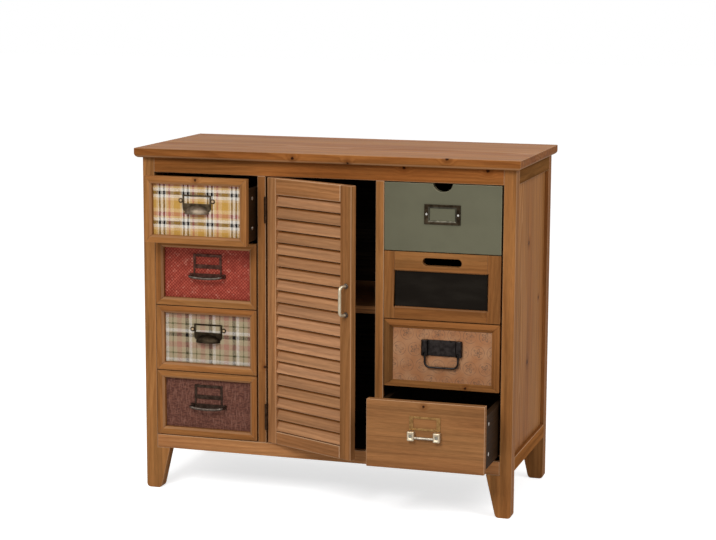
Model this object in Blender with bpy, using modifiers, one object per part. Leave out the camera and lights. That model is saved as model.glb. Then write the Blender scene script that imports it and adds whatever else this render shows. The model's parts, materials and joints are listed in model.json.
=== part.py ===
"""Apothecary chest: a pine carcass on tapered feet with eight unlike drawers and a louvred door."""

import math

import bmesh
import bpy
from mathutils import Matrix, Vector

# Carcass, in metres
POST = 0.028                    # square section of the corner posts
LEFT_OPENING = 0.251            # clear width of the left column of drawers
DOOR_OPENING = 0.259            # clear width between the two partitions
RIGHT_OPENING = 0.270           # clear width of the right column of drawers
PARTITION = 0.019
BODY_DEPTH = 0.380
LEG_HEIGHT = 0.098              # floor to the underside of the bottom rails
BOTTOM_RAIL = 0.031
OPENING_HEIGHT = 0.615
TOP_RAIL = 0.034
TOP_THICKNESS = 0.022
TOP_OVERHANG_FRONT = 0.021
TOP_OVERHANG_SIDE = 0.013
TOP_OVERHANG_BACK = 0.005
TOP_ROUND = 0.010               # quarter round under the edge of the top
SIDE_RAIL_LIFT = 0.005          # how much higher the side bottom rails sit than the front one
RAIL_SETBACK = 0.008            # how much thinner the rails are than the posts
FOOT_FLARE = 0.031              # how far a foot stands out from its post, under the rail
FOOT_TIP = 0.008                # how far it still stands out at the floor
FOOT_ROUND = 0.009
SIDE_PANEL = 0.010
SIDE_PANEL_RECESS = 0.009
PANEL_GROOVE = 0.006
BACK_PANEL = 0.005
BACK_PANEL_RECESS = 0.008
FLOOR_PANEL = 0.009
FLOOR_REBATE = 0.006
SHELF = 0.017
SHELF_LEVEL = 0.327             # floor panel to the top of the shelf
SHELF_SETBACK = 0.030
SHELF_DADO = 0.005

# Drawers
ROWS = 4
FRONT_GAP = 0.002               # above, between and below the drawer fronts
FRONT_REVEAL_LEFT = 0.001       # left of the drawer fronts
FRONT_REVEAL_RIGHT = 0.004      # right of the drawer fronts
FRONT_THICKNESS = 0.018
FRAME_FLAT = 0.0125             # flat face of a drawer's frame
CLOTH_CHAMFER = 0.005           # width of the slope inside the frame round a cloth insert
CLOTH_SLOPE = 0.005             # depth of that slope; a straight wall follows
CLOTH_DEPTH = 0.014             # from the front face to a cloth insert
FRAME_CHAMFER = 0.007           # width of the slope round the printed insert
PRINT_FRAME_BOTTOM = 0.006      # flat face below the printed insert
FRAME_DEPTH = 0.010             # from the front face to the printed insert
INSERT_LAP = 0.004              # how far an insert reaches behind its frame
BOARD_LEFT = 0.021              # frame of the chalkboard front
BOARD_RIGHT = 0.027
BOARD_TOP = 0.041
BOARD_BOTTOM = 0.025
BOARD_CHAMFER = 0.003
BOARD_DEPTH = 0.006
SLOT_WIDTH = 0.089
SLOT_HEIGHT = 0.018
SLOT_FROM_TOP = 0.021           # top of the front to the middle of the finger slot
NOTCH_WIDTH = 0.044
NOTCH_DEPTH = 0.018
NOTCH_ROUND = 0.017             # lower corners of the finger notch
BOX_CLEARANCE = 0.004           # beside a drawer box
BOX_BACK_SPACE = 0.0287         # behind a closed drawer box, to the back panel
BOX_SIDE = 0.012
BOX_END = 0.010
BOX_BOTTOM = 0.006
BOX_BELOW_TOP = 0.025           # top of the front down to the top of the box sides
BOX_END_DROP = 0.010            # box sides down to the top of the inner front
BOX_ABOVE_BOTTOM = 0.007
RUNNER_HEIGHT = 0.009
RUNNER_LEDGE = 0.011            # how far a runner reaches under a box side
DRAWER_1_OUT = 0.063
DRAWER_8_OUT = 0.132

# Pulls
PULL_PLATE = 0.002
PULL_CORNER = 0.002
PULL_SINK = 0.0004              # how far shapes of one pull run into its plate
CUP_CARD_WIDTH = 0.069
CUP_CARD_HEIGHT = 0.027
CUP_CARD_SIDE = 0.0045          # borders of the card frame above a cup: sides, top and bottom
CUP_CARD_TOP = 0.004
CUP_CARD_BOTTOM = 0.008
CUP_CARD_Z = 0.0215             # middle of the front up to the middle of the card frame
CUP_EAR = 0.0055
CUP_EAR_PLATE = 0.0016
CUP_EAR_OUT = 0.004             # side of the card frame out to the middle of an ear
CUP_WIDTH = 0.058
CUP_HEIGHT = 0.017
CUP_REACH = 0.019
CUP_WALL = 0.0015
CUP_LAP = 0.003                 # cup and card frame run into each other
BOW_CARD_WIDTH = 0.069
BOW_CARD_HEIGHT = 0.033
BOW_CARD_SIDE = 0.0055          # borders of the card frame above a bow: sides, top and bottom
BOW_CARD_TOP = 0.006
BOW_CARD_BOTTOM = 0.009
BOW_CARD_Z = 0.028
BOW_STRAP = 0.004               # straps from the card frame down to the foot of the bow
BOW_SHOULDER = 0.0015           # fall of the foot's top edge towards its ends
BOW_NECK = 0.012
BOW_FOOT_WIDTH = 0.088
BOW_FOOT_HEIGHT = 0.010
BOW_SPACING = 0.079
BOW_REACH = 0.020
BOW_DROOP = 0.004
BOW_RADIUS = 0.0034
BOW_BEND = 0.007
BOW_BOSS = 0.0046
BOW_BOSS_HEIGHT = 0.006
HOLDER_WIDTH = 0.082
HOLDER_HEIGHT = 0.044
HOLDER_SIDE_BORDER = 0.0125
HOLDER_BORDER = 0.0085
HOLDER_Z = 0.008
HOLDER_PLATE = 0.0025
BAIL_PLATE_WIDTH = 0.093
BAIL_PLATE_HEIGHT = 0.036
BAIL_PLATE = 0.003
BAIL_PLATE_CORNER = 0.006
BAIL_PLATE_Z = 0.015
BAIL_CAP_WIDTH = 0.015
BAIL_CAP_HEIGHT = 0.012
BAIL_CAP_EASE = 0.003
BAIL_SPACING = 0.076
BAIL_DROP = 0.0315
BAIL_RADIUS = 0.0027
BAIL_BEND = 0.012
BAIL_PIVOT_UP = 0.006           # lower edge of the plate up to the pivot
BAIL_PIVOT_REACH = 0.0075       # back of the plate out to the pivot
BAIL_PIN = 0.0016
BAIL_PIN_LENGTH = 0.009
BAIL_PLAY = 0.0004
BAR_CARD_WIDTH = 0.070
BAR_CARD_HEIGHT = 0.031
BAR_CARD_SIDE_BORDER = 0.009
BAR_CARD_BORDER = 0.005
BAR_CARD_Z = 0.029
BAR_CARD_PLATE = 0.0016
BAR_POST_WIDTH = 0.0155
BAR_POST_HEIGHT = 0.021
BAR_POST_REACH = 0.014
BAR_SPACING = 0.058
BAR_RADIUS = 0.003
BAR_DROP = 0.004                # middle of the posts down to the bar
BAR_GAP = 0.001                 # card frame down to the posts of the bar

# Door
DOOR_THICKNESS = 0.017
DOOR_SIDE_GAP = 0.003
HINGE_STILE = 0.026
LOCK_STILE = 0.032
DOOR_TOP_RAIL = 0.037
DOOR_BOTTOM_RAIL = 0.029
DOOR_AJAR = 24.5                # degrees open at rest
SLAT_COUNT = 20
SLAT_WIDTH = 0.026
SLAT_THICKNESS = 0.005
SLAT_TILT = 20.0                # degrees from upright, lower edge forward
SLAT_ROUND = 0.0018
SLAT_TENON = 0.006
SLAT_END_GAP = 0.0005           # between the outer slats and the rails
HINGE_HEIGHT = 0.060
HINGE_FROM_TOP = 0.044
HINGE_FROM_BOTTOM = 0.030
HINGE_LEAF = 0.001
HINGE_LEAF_DEPTH = 0.012
KNUCKLE_RADIUS = 0.0035
KNUCKLE_PROUD = 0.0005          # between a knuckle and the front of the chest
KNUCKLE_GAP = 0.0003
HINGE_PIN = 0.0015
HINGE_PIN_PLAY = 0.0002
HANDLE_SPACING = 0.064
HANDLE_LEVEL = 0.359            # lower end of the door up to the middle of its handle
HANDLE_FROM_EDGE = 0.013        # outer edge of the lock stile to the handle
HANDLE_REACH = 0.025
HANDLE_RADIUS = 0.0036
HANDLE_BEND = 0.009
HANDLE_FOOT = 0.006
HANDLE_FOOT_HEIGHT = 0.003

# Making
GLUE_GAP = 0.0003               # between two pieces that touch
EASE = 0.001                    # eased arrises of the carcass
FRONT_EASE = 0.0015             # eased arrises of the drawer fronts and the door
SHARP = math.radians(50)        # arrises sharper than this are eased
OVERCUT = 0.01                  # how far a cutter runs past what it cuts
ARC_STEPS = 4
ROUND_SIDES = 20
ROD_STEPS = 2                   # bevel resolution of bent bars
WELD = 0.00001

# Places that follow from the sizes
BODY_WIDTH = 2 * POST + LEFT_OPENING + DOOR_OPENING + RIGHT_OPENING + 2 * PARTITION
BODY_LEFT = -BODY_WIDTH / 2
BODY_RIGHT = BODY_WIDTH / 2
LEFT_START = BODY_LEFT + POST
LEFT_END = LEFT_START + LEFT_OPENING
DOOR_START = LEFT_END + PARTITION
DOOR_END = DOOR_START + DOOR_OPENING
RIGHT_START = DOOR_END + PARTITION
RIGHT_END = RIGHT_START + RIGHT_OPENING
FLOOR_Z = LEG_HEIGHT + BOTTOM_RAIL
OPENING_TOP = FLOOR_Z + OPENING_HEIGHT
TOP_Z = OPENING_TOP + TOP_RAIL
RAIL = POST - RAIL_SETBACK
# The origin lies on the floor below the middle of the chest with drawer 8 drawn out.
FRONT_Y = (DRAWER_8_OUT + BAR_POST_REACH + GLUE_GAP - BODY_DEPTH - TOP_OVERHANG_BACK) / 2
BACK_Y = FRONT_Y + BODY_DEPTH
BACK_PANEL_Y = BACK_Y - BACK_PANEL_RECESS - BACK_PANEL
FRONT_HEIGHT = (OPENING_HEIGHT - (ROWS + 1) * FRONT_GAP) / ROWS
BOX_START = FRONT_THICKNESS + GLUE_GAP
BOX_LENGTH = BACK_PANEL_Y - FRONT_Y - BOX_START - BOX_BACK_SPACE
BOX_LOW = BOX_ABOVE_BOTTOM - FRONT_HEIGHT / 2
BOX_HIGH = FRONT_HEIGHT / 2 - BOX_BELOW_TOP
HINGE_X = DOOR_START + DOOR_SIDE_GAP / 2
HINGE_Y = FRONT_Y - KNUCKLE_RADIUS - KNUCKLE_PROUD
DOOR_LOW = FLOOR_Z + FRONT_GAP
DOOR_WIDTH = DOOR_OPENING - 2 * DOOR_SIDE_GAP
DOOR_HEIGHT = OPENING_HEIGHT - 2 * FRONT_GAP

for old in list(bpy.data.objects):
    bpy.data.objects.remove(old)
CHEST = bpy.data.collections.new("apothecary_chest")
TOOLS = bpy.data.collections.new("cutters")
bpy.context.scene.collection.children.link(CHEST)
bpy.context.scene.collection.children.link(TOOLS)


def finish(name, color, roughness, metallic=0.0):
    """A material of one colour."""
    material = bpy.data.materials.new(name)
    material.use_nodes = True
    shader = material.node_tree.nodes["Principled BSDF"]
    shader.inputs["Base Color"].default_value = (*color, 1.0)
    shader.inputs["Roughness"].default_value = roughness
    shader.inputs["Metallic"].default_value = metallic
    return material


PINE = finish("honey_pine", (0.38, 0.17, 0.055), 0.45)
DARK_STAIN = finish("dark_stain", (0.020, 0.012, 0.008), 0.60)
SAGE_PAINT = finish("sage_paint", (0.125, 0.145, 0.100), 0.50)
YELLOW_PLAID = finish("yellow_plaid_cloth", (0.72, 0.55, 0.30), 0.85)
RED_WEAVE = finish("red_woven_cloth", (0.32, 0.035, 0.030), 0.80)
BEIGE_PLAID = finish("beige_plaid_cloth", (0.58, 0.42, 0.24), 0.85)
TWEED = finish("maroon_tweed", (0.085, 0.040, 0.035), 0.90)
CHALKBOARD = finish("chalkboard", (0.012, 0.010, 0.009), 0.55)
PRINT = finish("printed_board", (0.42, 0.21, 0.105), 0.70)
BRONZE = finish("antique_bronze", (0.14, 0.10, 0.07), 0.40, 1.0)
BLACK_IRON = finish("black_iron", (0.015, 0.015, 0.016), 0.45, 0.6)
BRASS = finish("aged_brass", (0.42, 0.25, 0.09), 0.35, 1.0)
NICKEL = finish("bright_nickel", (0.62, 0.60, 0.56), 0.25, 1.0)


def part(name, mesh, material, parent=None, location=(0, 0, 0)):
    """A finished piece of the chest, placed under its parent."""
    mesh.materials.clear()
    mesh.materials.append(material)
    piece = bpy.data.objects.new(name, mesh)
    piece.location = location
    piece.parent = parent
    CHEST.objects.link(piece)
    return piece


def tool(mesh, parent=None, location=(0, 0, 0)):
    """A hidden shape that is cut from a piece or joined to it."""
    shape = bpy.data.objects.new("tool", mesh)
    shape.location = location
    shape.parent = parent
    shape.hide_render = True
    shape.display_type = "WIRE"
    TOOLS.objects.link(shape)
    return shape


def combine(piece, shape, operation):
    modifier = piece.modifiers.new(operation.lower(), "BOOLEAN")
    modifier.operation = operation
    modifier.object = shape


def axis_at(name, location, parent=None):
    """An empty that carries what moves together."""
    empty = bpy.data.objects.new(name, None)
    empty.location = location
    empty.parent = parent
    CHEST.objects.link(empty)
    return empty


def ease_arrises(bm, width, segments=1):
    """Breaks the sharp outer edges of a shape by a small chamfer."""
    sharp = [e for e in bm.edges if e.is_manifold and e.is_convex and e.calc_face_angle() > SHARP]
    bmesh.ops.bevel(bm, geom=sharp, offset=width, segments=segments, profile=0.5, affect="EDGES")


def mesh_of(bm, name):
    mesh = bpy.data.meshes.new(name)
    bm.to_mesh(mesh)
    bm.free()
    return mesh


def block_mesh(name, size, ease=0.0, segments=1):
    bm = bmesh.new()
    bmesh.ops.create_cube(bm, size=1.0)
    bmesh.ops.scale(bm, vec=size, verts=bm.verts)
    if ease:
        ease_arrises(bm, ease, segments)
    return mesh_of(bm, name)


def middle_and_size(low, high):
    low = Vector(low)
    high = Vector(high)
    return (low + high) / 2, high - low


def board(name, low, high, material, parent=None, ease=EASE, segments=1):
    """A straight board between two corners."""
    middle, size = middle_and_size(low, high)
    return part(name, block_mesh(name, size, ease, segments), material, parent, middle)


def cut_block(piece, low, high, parent=None):
    """Cuts the space between two corners out of a piece."""
    middle, size = middle_and_size(low, high)
    combine(piece, tool(block_mesh("cut", size), parent, middle), "DIFFERENCE")


def join_block(piece, low, high, parent=None, ease=0.0):
    middle, size = middle_and_size(low, high)
    combine(piece, tool(block_mesh("join", size, ease), parent, middle), "UNION")


def rod_mesh(name, radius, length, axis):
    """A round bar along X, Y or Z with its middle at the origin."""
    turn = {"X": Matrix.Rotation(math.pi / 2, 4, "Y"), "Y": Matrix.Rotation(math.pi / 2, 4, "X"),
            "Z": Matrix.Identity(4)}
    bm = bmesh.new()
    bmesh.ops.create_cone(bm, cap_ends=True, segments=ROUND_SIDES, radius1=radius, radius2=radius,
                          depth=length, matrix=turn[axis])
    return mesh_of(bm, name)


def rounded(corners, closed=True):
    """The points of an outline or a path, with an arc at each corner that has a radius."""
    points = []
    for i, (corner, radius) in enumerate(corners):
        corner = Vector(corner)
        if radius == 0:
            points.append(corner)
            continue
        before = (Vector(corners[i - 1][0]) - corner).normalized()
        after = (Vector(corners[(i + 1) % len(corners)][0]) - corner).normalized()
        half = before.angle(after) / 2
        centre = corner + (before + after).normalized() * (radius / math.sin(half))
        start = (corner + before * (radius / math.tan(half)) - centre).normalized()
        end = (corner + after * (radius / math.tan(half)) - centre).normalized()
        points += [centre + start.slerp(end, step / ARC_STEPS) * radius for step in range(ARC_STEPS + 1)]
    return points


def rectangle(width, height, corner=0.0, middle=(0.0, 0.0)):
    x, y = middle
    signs = [(-1, -1), (1, -1), (1, 1), (-1, 1)]
    return rounded([((x + sx * width / 2, y + sy * height / 2), corner) for sx, sy in signs])


def welded(shape):
    """The mesh of a curve object, its caps joined to its sides; the curve itself goes."""
    bpy.context.view_layer.update()
    depsgraph = bpy.context.evaluated_depsgraph_get()
    mesh = bpy.data.meshes.new_from_object(shape.evaluated_get(depsgraph))
    bm = bmesh.new()
    bm.from_mesh(mesh)
    bmesh.ops.remove_doubles(bm, verts=bm.verts, dist=WELD)
    bmesh.ops.recalc_face_normals(bm, faces=bm.faces)
    bm.to_mesh(mesh)
    bm.free()
    bpy.data.objects.remove(shape)
    return mesh


def add_spline(curve, points, cyclic):
    spline = curve.splines.new("POLY")
    spline.points.add(len(points) - 1)
    for place, point in zip(spline.points, points):
        place.co = (*point.to_3d(), 1.0)
    spline.use_cyclic_u = cyclic


def sheet_mesh(name, outlines, thickness, turn=Matrix.Identity(4), ease=0.0):
    """A flat piece cut to an outline, and to holes in it, then turned into its plane."""
    curve = bpy.data.curves.new(name, "CURVE")
    curve.dimensions = "2D"
    curve.fill_mode = "BOTH"
    curve.extrude = thickness / 2
    for outline in outlines:
        add_spline(curve, outline, True)
    shape = bpy.data.objects.new(name, curve)
    TOOLS.objects.link(shape)
    mesh = welded(shape)
    mesh.transform(turn)
    if ease:
        bm = bmesh.new()
        bm.from_mesh(mesh)
        bmesh.ops.dissolve_limit(bm, angle_limit=math.radians(1), verts=bm.verts, edges=bm.edges)
        ease_arrises(bm, ease)
        bm.to_mesh(mesh)
        bm.free()
    return mesh


def tube_mesh(name, points, radius):
    """A round bar bent along a path."""
    curve = bpy.data.curves.new(name, "CURVE")
    curve.dimensions = "3D"
    curve.bevel_depth = radius
    curve.bevel_resolution = ROD_STEPS
    curve.use_fill_caps = True
    add_spline(curve, points, False)
    shape = bpy.data.objects.new(name, curve)
    TOOLS.objects.link(shape)
    return welded(shape)


# An outline drawn as (x, z) stands upright facing the front; one drawn as (y, z) faces the side.
FACING_FRONT = Matrix.Rotation(math.pi / 2, 4, "X")
FACING_SIDE = Matrix.Rotation(math.pi / 2, 4, "Z") @ Matrix.Rotation(math.pi / 2, 4, "X")


# Carcass

def post_with_foot(name, side, low_y):
    """A corner post that runs down into a foot flared towards the middle of the chest."""
    outer = side * BODY_WIDTH / 2
    high = TOP_Z - GLUE_GAP
    flare = LEG_HEIGHT - GLUE_GAP
    corners = [(0, 0, FOOT_ROUND), (POST + FOOT_TIP, 0, FOOT_ROUND), (POST + FOOT_FLARE, flare, 0),
               (POST, flare, 0), (POST, high, 0), (0, high, 0)]
    outline = rounded([((outer - side * x, z), radius) for x, z, radius in corners])
    mesh = sheet_mesh(name, [outline], POST, FACING_FRONT, EASE)
    return part(name, mesh, PINE, None, (0, low_y + POST / 2, 0))


posts = {}
for side_name, side in (("left", -1), ("right", 1)):
    posts["front", side_name] = post_with_foot(f"post_front_{side_name}", side, FRONT_Y)
    posts["back", side_name] = post_with_foot(f"post_back_{side_name}", side, BACK_Y - POST)

between_posts = (LEFT_START + GLUE_GAP, RIGHT_END - GLUE_GAP)
front_to_back = (FRONT_Y + POST + GLUE_GAP, BACK_Y - POST - GLUE_GAP)
board("front_top_rail", (between_posts[0], FRONT_Y, OPENING_TOP),
      (between_posts[1], FRONT_Y + RAIL, TOP_Z - GLUE_GAP), PINE)
front_bottom_rail = board("front_bottom_rail", (between_posts[0], FRONT_Y, LEG_HEIGHT),
                          (between_posts[1], FRONT_Y + RAIL, FLOOR_Z), PINE)
back_bottom_rail = board("back_bottom_rail", (between_posts[0], BACK_Y - RAIL, LEG_HEIGHT),
                         (between_posts[1], BACK_Y, FLOOR_Z), PINE)

# The floor panel lies in rebates of the front and back rails and is notched round the posts.
floor_low = Vector((BODY_LEFT + RAIL + GLUE_GAP, FRONT_Y + RAIL - FLOOR_REBATE + GLUE_GAP))
floor_high = Vector((BODY_RIGHT - RAIL - GLUE_GAP, BACK_Y - RAIL + FLOOR_REBATE - GLUE_GAP))
notch_x = RAIL_SETBACK
notch_y = RAIL_SETBACK + FLOOR_REBATE
notched = []
for sx, sy in ((-1, -1), (1, -1), (1, 1), (-1, 1)):
    corner = Vector((floor_low.x if sx < 0 else floor_high.x, floor_low.y if sy < 0 else floor_high.y))
    along_y = corner - Vector((0, sy * notch_y))
    along_x = corner - Vector((sx * notch_x, 0))
    inner = corner - Vector((sx * notch_x, sy * notch_y))
    notched += [along_y, inner, along_x] if sx * sy > 0 else [along_x, inner, along_y]
part("floor_panel", sheet_mesh("floor_panel", [notched], FLOOR_PANEL), PINE, None,
     (0, 0, FLOOR_Z - FLOOR_PANEL / 2))
rebate_z = FLOOR_Z - FLOOR_PANEL - GLUE_GAP
cut_block(front_bottom_rail, (BODY_LEFT, floor_low.y - GLUE_GAP, rebate_z),
          (BODY_RIGHT, FRONT_Y + RAIL + OVERCUT, FLOOR_Z + OVERCUT))
cut_block(back_bottom_rail, (BODY_LEFT, BACK_Y - RAIL - OVERCUT, rebate_z),
          (BODY_RIGHT, floor_high.y + GLUE_GAP, FLOOR_Z + OVERCUT))

# The back panel stands on the back rail in grooves of the back posts.
back_panel_low = Vector((LEFT_START - PANEL_GROOVE + GLUE_GAP, BACK_PANEL_Y, FLOOR_Z + GLUE_GAP))
back_panel_high = Vector((RIGHT_END + PANEL_GROOVE - GLUE_GAP, BACK_PANEL_Y + BACK_PANEL, TOP_Z - GLUE_GAP))
board("back_panel", back_panel_low, back_panel_high, DARK_STAIN, None, 0.0)
around = Vector((GLUE_GAP, GLUE_GAP, GLUE_GAP))
for side_name in ("left", "right"):
    cut_block(posts["back", side_name], back_panel_low - around,
              back_panel_high + around + Vector((0, 0, OVERCUT)))


def row_middle(row):
    """Height of the middle of a drawer front, counting rows from the top."""
    return OPENING_TOP - FRONT_GAP - FRONT_HEIGHT / 2 - row * (FRONT_HEIGHT + FRONT_GAP)


def add_runners(piece, start, end, lowest):
    """Joins one wooden runner for each row to a side panel or a partition, from x start to x end.
    A runner is as deep as the others unless that would take it below the lowest height."""
    low_x, high_x = sorted((start, end))
    for row in range(ROWS):
        high_z = row_middle(row) + BOX_LOW - GLUE_GAP
        low_z = max(high_z - RUNNER_HEIGHT, lowest)
        join_block(piece, (low_x, front_to_back[0], low_z), (high_x, front_to_back[1], high_z))


runner_reach = BOX_CLEARANCE + RUNNER_LEDGE
side_rail_low = LEG_HEIGHT + SIDE_RAIL_LIFT
for side_name, side in (("left", -1), ("right", 1)):
    outer = side * BODY_WIDTH / 2
    rails = []
    rail_heights = (("top", OPENING_TOP, TOP_Z - GLUE_GAP),
                    ("bottom", side_rail_low, side_rail_low + BOTTOM_RAIL))
    for rail_name, low_z, high_z in rail_heights:
        low_x, high_x = sorted((outer, outer - side * RAIL))
        rails.append(board(f"side_{rail_name}_rail_{side_name}", (low_x, front_to_back[0], low_z),
                           (high_x, front_to_back[1], high_z), PINE))
    faces = sorted((outer - side * SIDE_PANEL_RECESS, outer - side * (SIDE_PANEL_RECESS + SIDE_PANEL)))
    reach = PANEL_GROOVE - GLUE_GAP
    panel_low = Vector((faces[0], FRONT_Y + POST - reach, side_rail_low + BOTTOM_RAIL - reach))
    panel_high = Vector((faces[1], BACK_Y - POST + reach, OPENING_TOP + reach))
    panel = board(f"side_panel_{side_name}", panel_low, panel_high, PINE, None, 0.0)
    for piece in (posts["front", side_name], posts["back", side_name], *rails):
        cut_block(piece, panel_low - around, panel_high + around)
    inside = outer - side * (SIDE_PANEL_RECESS + SIDE_PANEL / 2)
    add_runners(panel, inside, outer - side * (POST + runner_reach), side_rail_low + BOTTOM_RAIL + GLUE_GAP)

# Each partition is notched round the front top rail, carries runners on one face and a dado on the other.
shelf_top = FLOOR_Z + SHELF_LEVEL
shelf_low = Vector((DOOR_START - SHELF_DADO + GLUE_GAP, FRONT_Y + SHELF_SETBACK, shelf_top - SHELF))
shelf_high = Vector((DOOR_END + SHELF_DADO - GLUE_GAP, BACK_PANEL_Y - GLUE_GAP, shelf_top))
board("shelf", shelf_low, shelf_high, DARK_STAIN)
behind_rail = FRONT_Y + RAIL + GLUE_GAP
partition_outline = [Vector(p) for p in (
    (FRONT_Y, FLOOR_Z + GLUE_GAP), (BACK_PANEL_Y - GLUE_GAP, FLOOR_Z + GLUE_GAP),
    (BACK_PANEL_Y - GLUE_GAP, TOP_Z - GLUE_GAP), (behind_rail, TOP_Z - GLUE_GAP),
    (behind_rail, OPENING_TOP - GLUE_GAP), (FRONT_Y, OPENING_TOP - GLUE_GAP))]
for side_name, low_x, drawer_face, direction in (("left", LEFT_END, LEFT_END, -1),
                                                 ("right", DOOR_END, RIGHT_START, 1)):
    name = f"partition_{side_name}"
    mesh = sheet_mesh(name, [partition_outline], PARTITION, FACING_SIDE, EASE)
    partition = part(name, mesh, PINE, None, (low_x + PARTITION / 2, 0, 0))
    cut_block(partition, shelf_low - around, shelf_high + around + Vector((0, OVERCUT, 0)))
    add_runners(partition, drawer_face - direction * PARTITION / 4, drawer_face + direction * runner_reach,
                FLOOR_Z + GLUE_GAP)

# The top board is rounded below on its front and both ends, and square at the back.
top_low = (BODY_LEFT - TOP_OVERHANG_SIDE, FRONT_Y - TOP_OVERHANG_FRONT, TOP_Z)
top_high = (BODY_RIGHT + TOP_OVERHANG_SIDE, BACK_Y + TOP_OVERHANG_BACK, TOP_Z + TOP_THICKNESS)
top_middle, top_size = middle_and_size(top_low, top_high)
bm = bmesh.new()
bmesh.ops.create_cube(bm, size=1.0)
bmesh.ops.scale(bm, vec=top_size, verts=bm.verts)
under_edges = []
for edge in bm.edges:
    centre = (edge.verts[0].co + edge.verts[1].co) / 2
    is_under = centre.z < 0 and abs(edge.verts[0].co.z - edge.verts[1].co.z) < WELD
    if is_under and centre.y < WELD:
        under_edges.append(edge)
bmesh.ops.bevel(bm, geom=under_edges, offset=TOP_ROUND, segments=ARC_STEPS, profile=0.5, affect="EDGES")
ease_arrises(bm, FRONT_EASE)
part("top_board", mesh_of(bm, "top_board"), PINE, None, top_middle)


# Drawers

LEFT_MIDDLE = (LEFT_START + FRONT_REVEAL_LEFT + LEFT_END - FRONT_REVEAL_RIGHT) / 2
RIGHT_MIDDLE = (RIGHT_START + FRONT_REVEAL_LEFT + RIGHT_END - FRONT_REVEAL_RIGHT) / 2
PULLED_OUT = {1: DRAWER_1_OUT, 8: DRAWER_8_OUT}
drawers = {}
front_widths = {}
for number in range(1, 2 * ROWS + 1):
    on_left = number <= ROWS
    row = (number - 1) % ROWS
    opening = LEFT_OPENING if on_left else RIGHT_OPENING
    middle_x = LEFT_MIDDLE if on_left else RIGHT_MIDDLE
    drawers[number] = axis_at(f"drawer_{number}_slide",
                              (middle_x, FRONT_Y - PULLED_OUT.get(number, 0.0), row_middle(row)))
    front_widths[number] = opening - FRONT_REVEAL_LEFT - FRONT_REVEAL_RIGHT


def drawer_box(number, opening):
    """The dark box of a drawer, cut hollow from above; its sides stand on the runners."""
    drawer = drawers[number]
    half = opening / 2 - BOX_CLEARANCE
    end = BOX_START + BOX_LENGTH
    box = board(f"drawer_{number}_box", (-half, BOX_START, BOX_LOW), (half, end, BOX_HIGH), DARK_STAIN,
                drawer)
    inside = half - BOX_SIDE
    cut_block(box, (-inside, BOX_START + BOX_END, BOX_LOW + BOX_BOTTOM),
              (inside, end - BOX_END, BOX_HIGH + OVERCUT), drawer)
    cut_block(box, (-inside, BOX_START - OVERCUT, BOX_HIGH - BOX_END_DROP),
              (inside, BOX_START + BOX_END + OVERCUT, BOX_HIGH + OVERCUT), drawer)


def tapered_opening(window, chamfer, slope):
    """A cutter for a framed window: as wide as the window at the end of the slope, wider at the front face."""
    (low_x, low_z), (high_x, high_z) = window
    bm = bmesh.new()
    bmesh.ops.create_cube(bm, size=1.0)
    for vert in bm.verts:
        y = -OVERCUT if vert.co.y < 0 else slope + INSERT_LAP
        spread = (slope - y) * chamfer / slope
        x = high_x + spread if vert.co.x > 0 else low_x - spread
        z = high_z + spread if vert.co.z > 0 else low_z - spread
        vert.co = (x, y, z)
    return mesh_of(bm, "window")


def framed_front(number, frame_low, frame_high, chamfer, slope, depth, material):
    """A frame with a chamfered window, and its insert lying in a rebate behind the window.
    Where the slope is less deep than the insert lies, a straight wall runs on from it."""
    drawer = drawers[number]
    half_x = front_widths[number] / 2
    half_z = FRONT_HEIGHT / 2
    front = board(f"drawer_{number}_front", (-half_x, 0, -half_z), (half_x, FRONT_THICKNESS, half_z),
                  PINE, drawer, FRONT_EASE)
    low = Vector((-half_x + frame_low[0] + chamfer, -half_z + frame_low[1] + chamfer))
    high = Vector((half_x - frame_high[0] - chamfer, half_z - frame_high[1] - chamfer))
    combine(front, tool(tapered_opening((low, high), chamfer, slope), drawer), "DIFFERENCE")
    if slope < depth:
        cut_block(front, (low.x, -OVERCUT, low.y), (high.x, FRONT_THICKNESS + OVERCUT, high.y), drawer)
    rebate = INSERT_LAP + GLUE_GAP
    cut_block(front, (low.x - rebate, depth, low.y - rebate),
              (high.x + rebate, FRONT_THICKNESS + OVERCUT, high.y + rebate), drawer)
    board(f"drawer_{number}_insert", (low.x - INSERT_LAP, depth + GLUE_GAP, low.y - INSERT_LAP),
          (high.x + INSERT_LAP, FRONT_THICKNESS - GLUE_GAP, high.y + INSERT_LAP), material, drawer, 0.0)
    return front


for number in drawers:
    drawer_box(number, LEFT_OPENING if number <= ROWS else RIGHT_OPENING)
flat = (FRAME_FLAT, FRAME_FLAT)
for number, material in ((1, YELLOW_PLAID), (2, RED_WEAVE), (3, BEIGE_PLAID), (4, TWEED)):
    framed_front(number, flat, flat, CLOTH_CHAMFER, CLOTH_SLOPE, CLOTH_DEPTH, material)
framed_front(7, (FRAME_FLAT, PRINT_FRAME_BOTTOM), flat, FRAME_CHAMFER, FRAME_DEPTH, FRAME_DEPTH, PRINT)

# Drawer 5: a painted slab with a half-round finger notch in its top edge.
half_x = front_widths[5] / 2
half_z = FRONT_HEIGHT / 2
notch = [(-half_x, -half_z, 0), (half_x, -half_z, 0), (half_x, half_z, 0),
         (NOTCH_WIDTH / 2, half_z, 0), (NOTCH_WIDTH / 2, half_z - NOTCH_DEPTH, NOTCH_ROUND),
         (-NOTCH_WIDTH / 2, half_z - NOTCH_DEPTH, NOTCH_ROUND), (-NOTCH_WIDTH / 2, half_z, 0),
         (-half_x, half_z, 0)]
notched_front = sheet_mesh("drawer_5_front", [rounded([((x, z), r) for x, z, r in notch])], FRONT_THICKNESS,
                           FACING_FRONT, EASE)
part("drawer_5_front", notched_front, SAGE_PAINT, drawers[5], (0, FRONT_THICKNESS / 2, 0))

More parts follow.
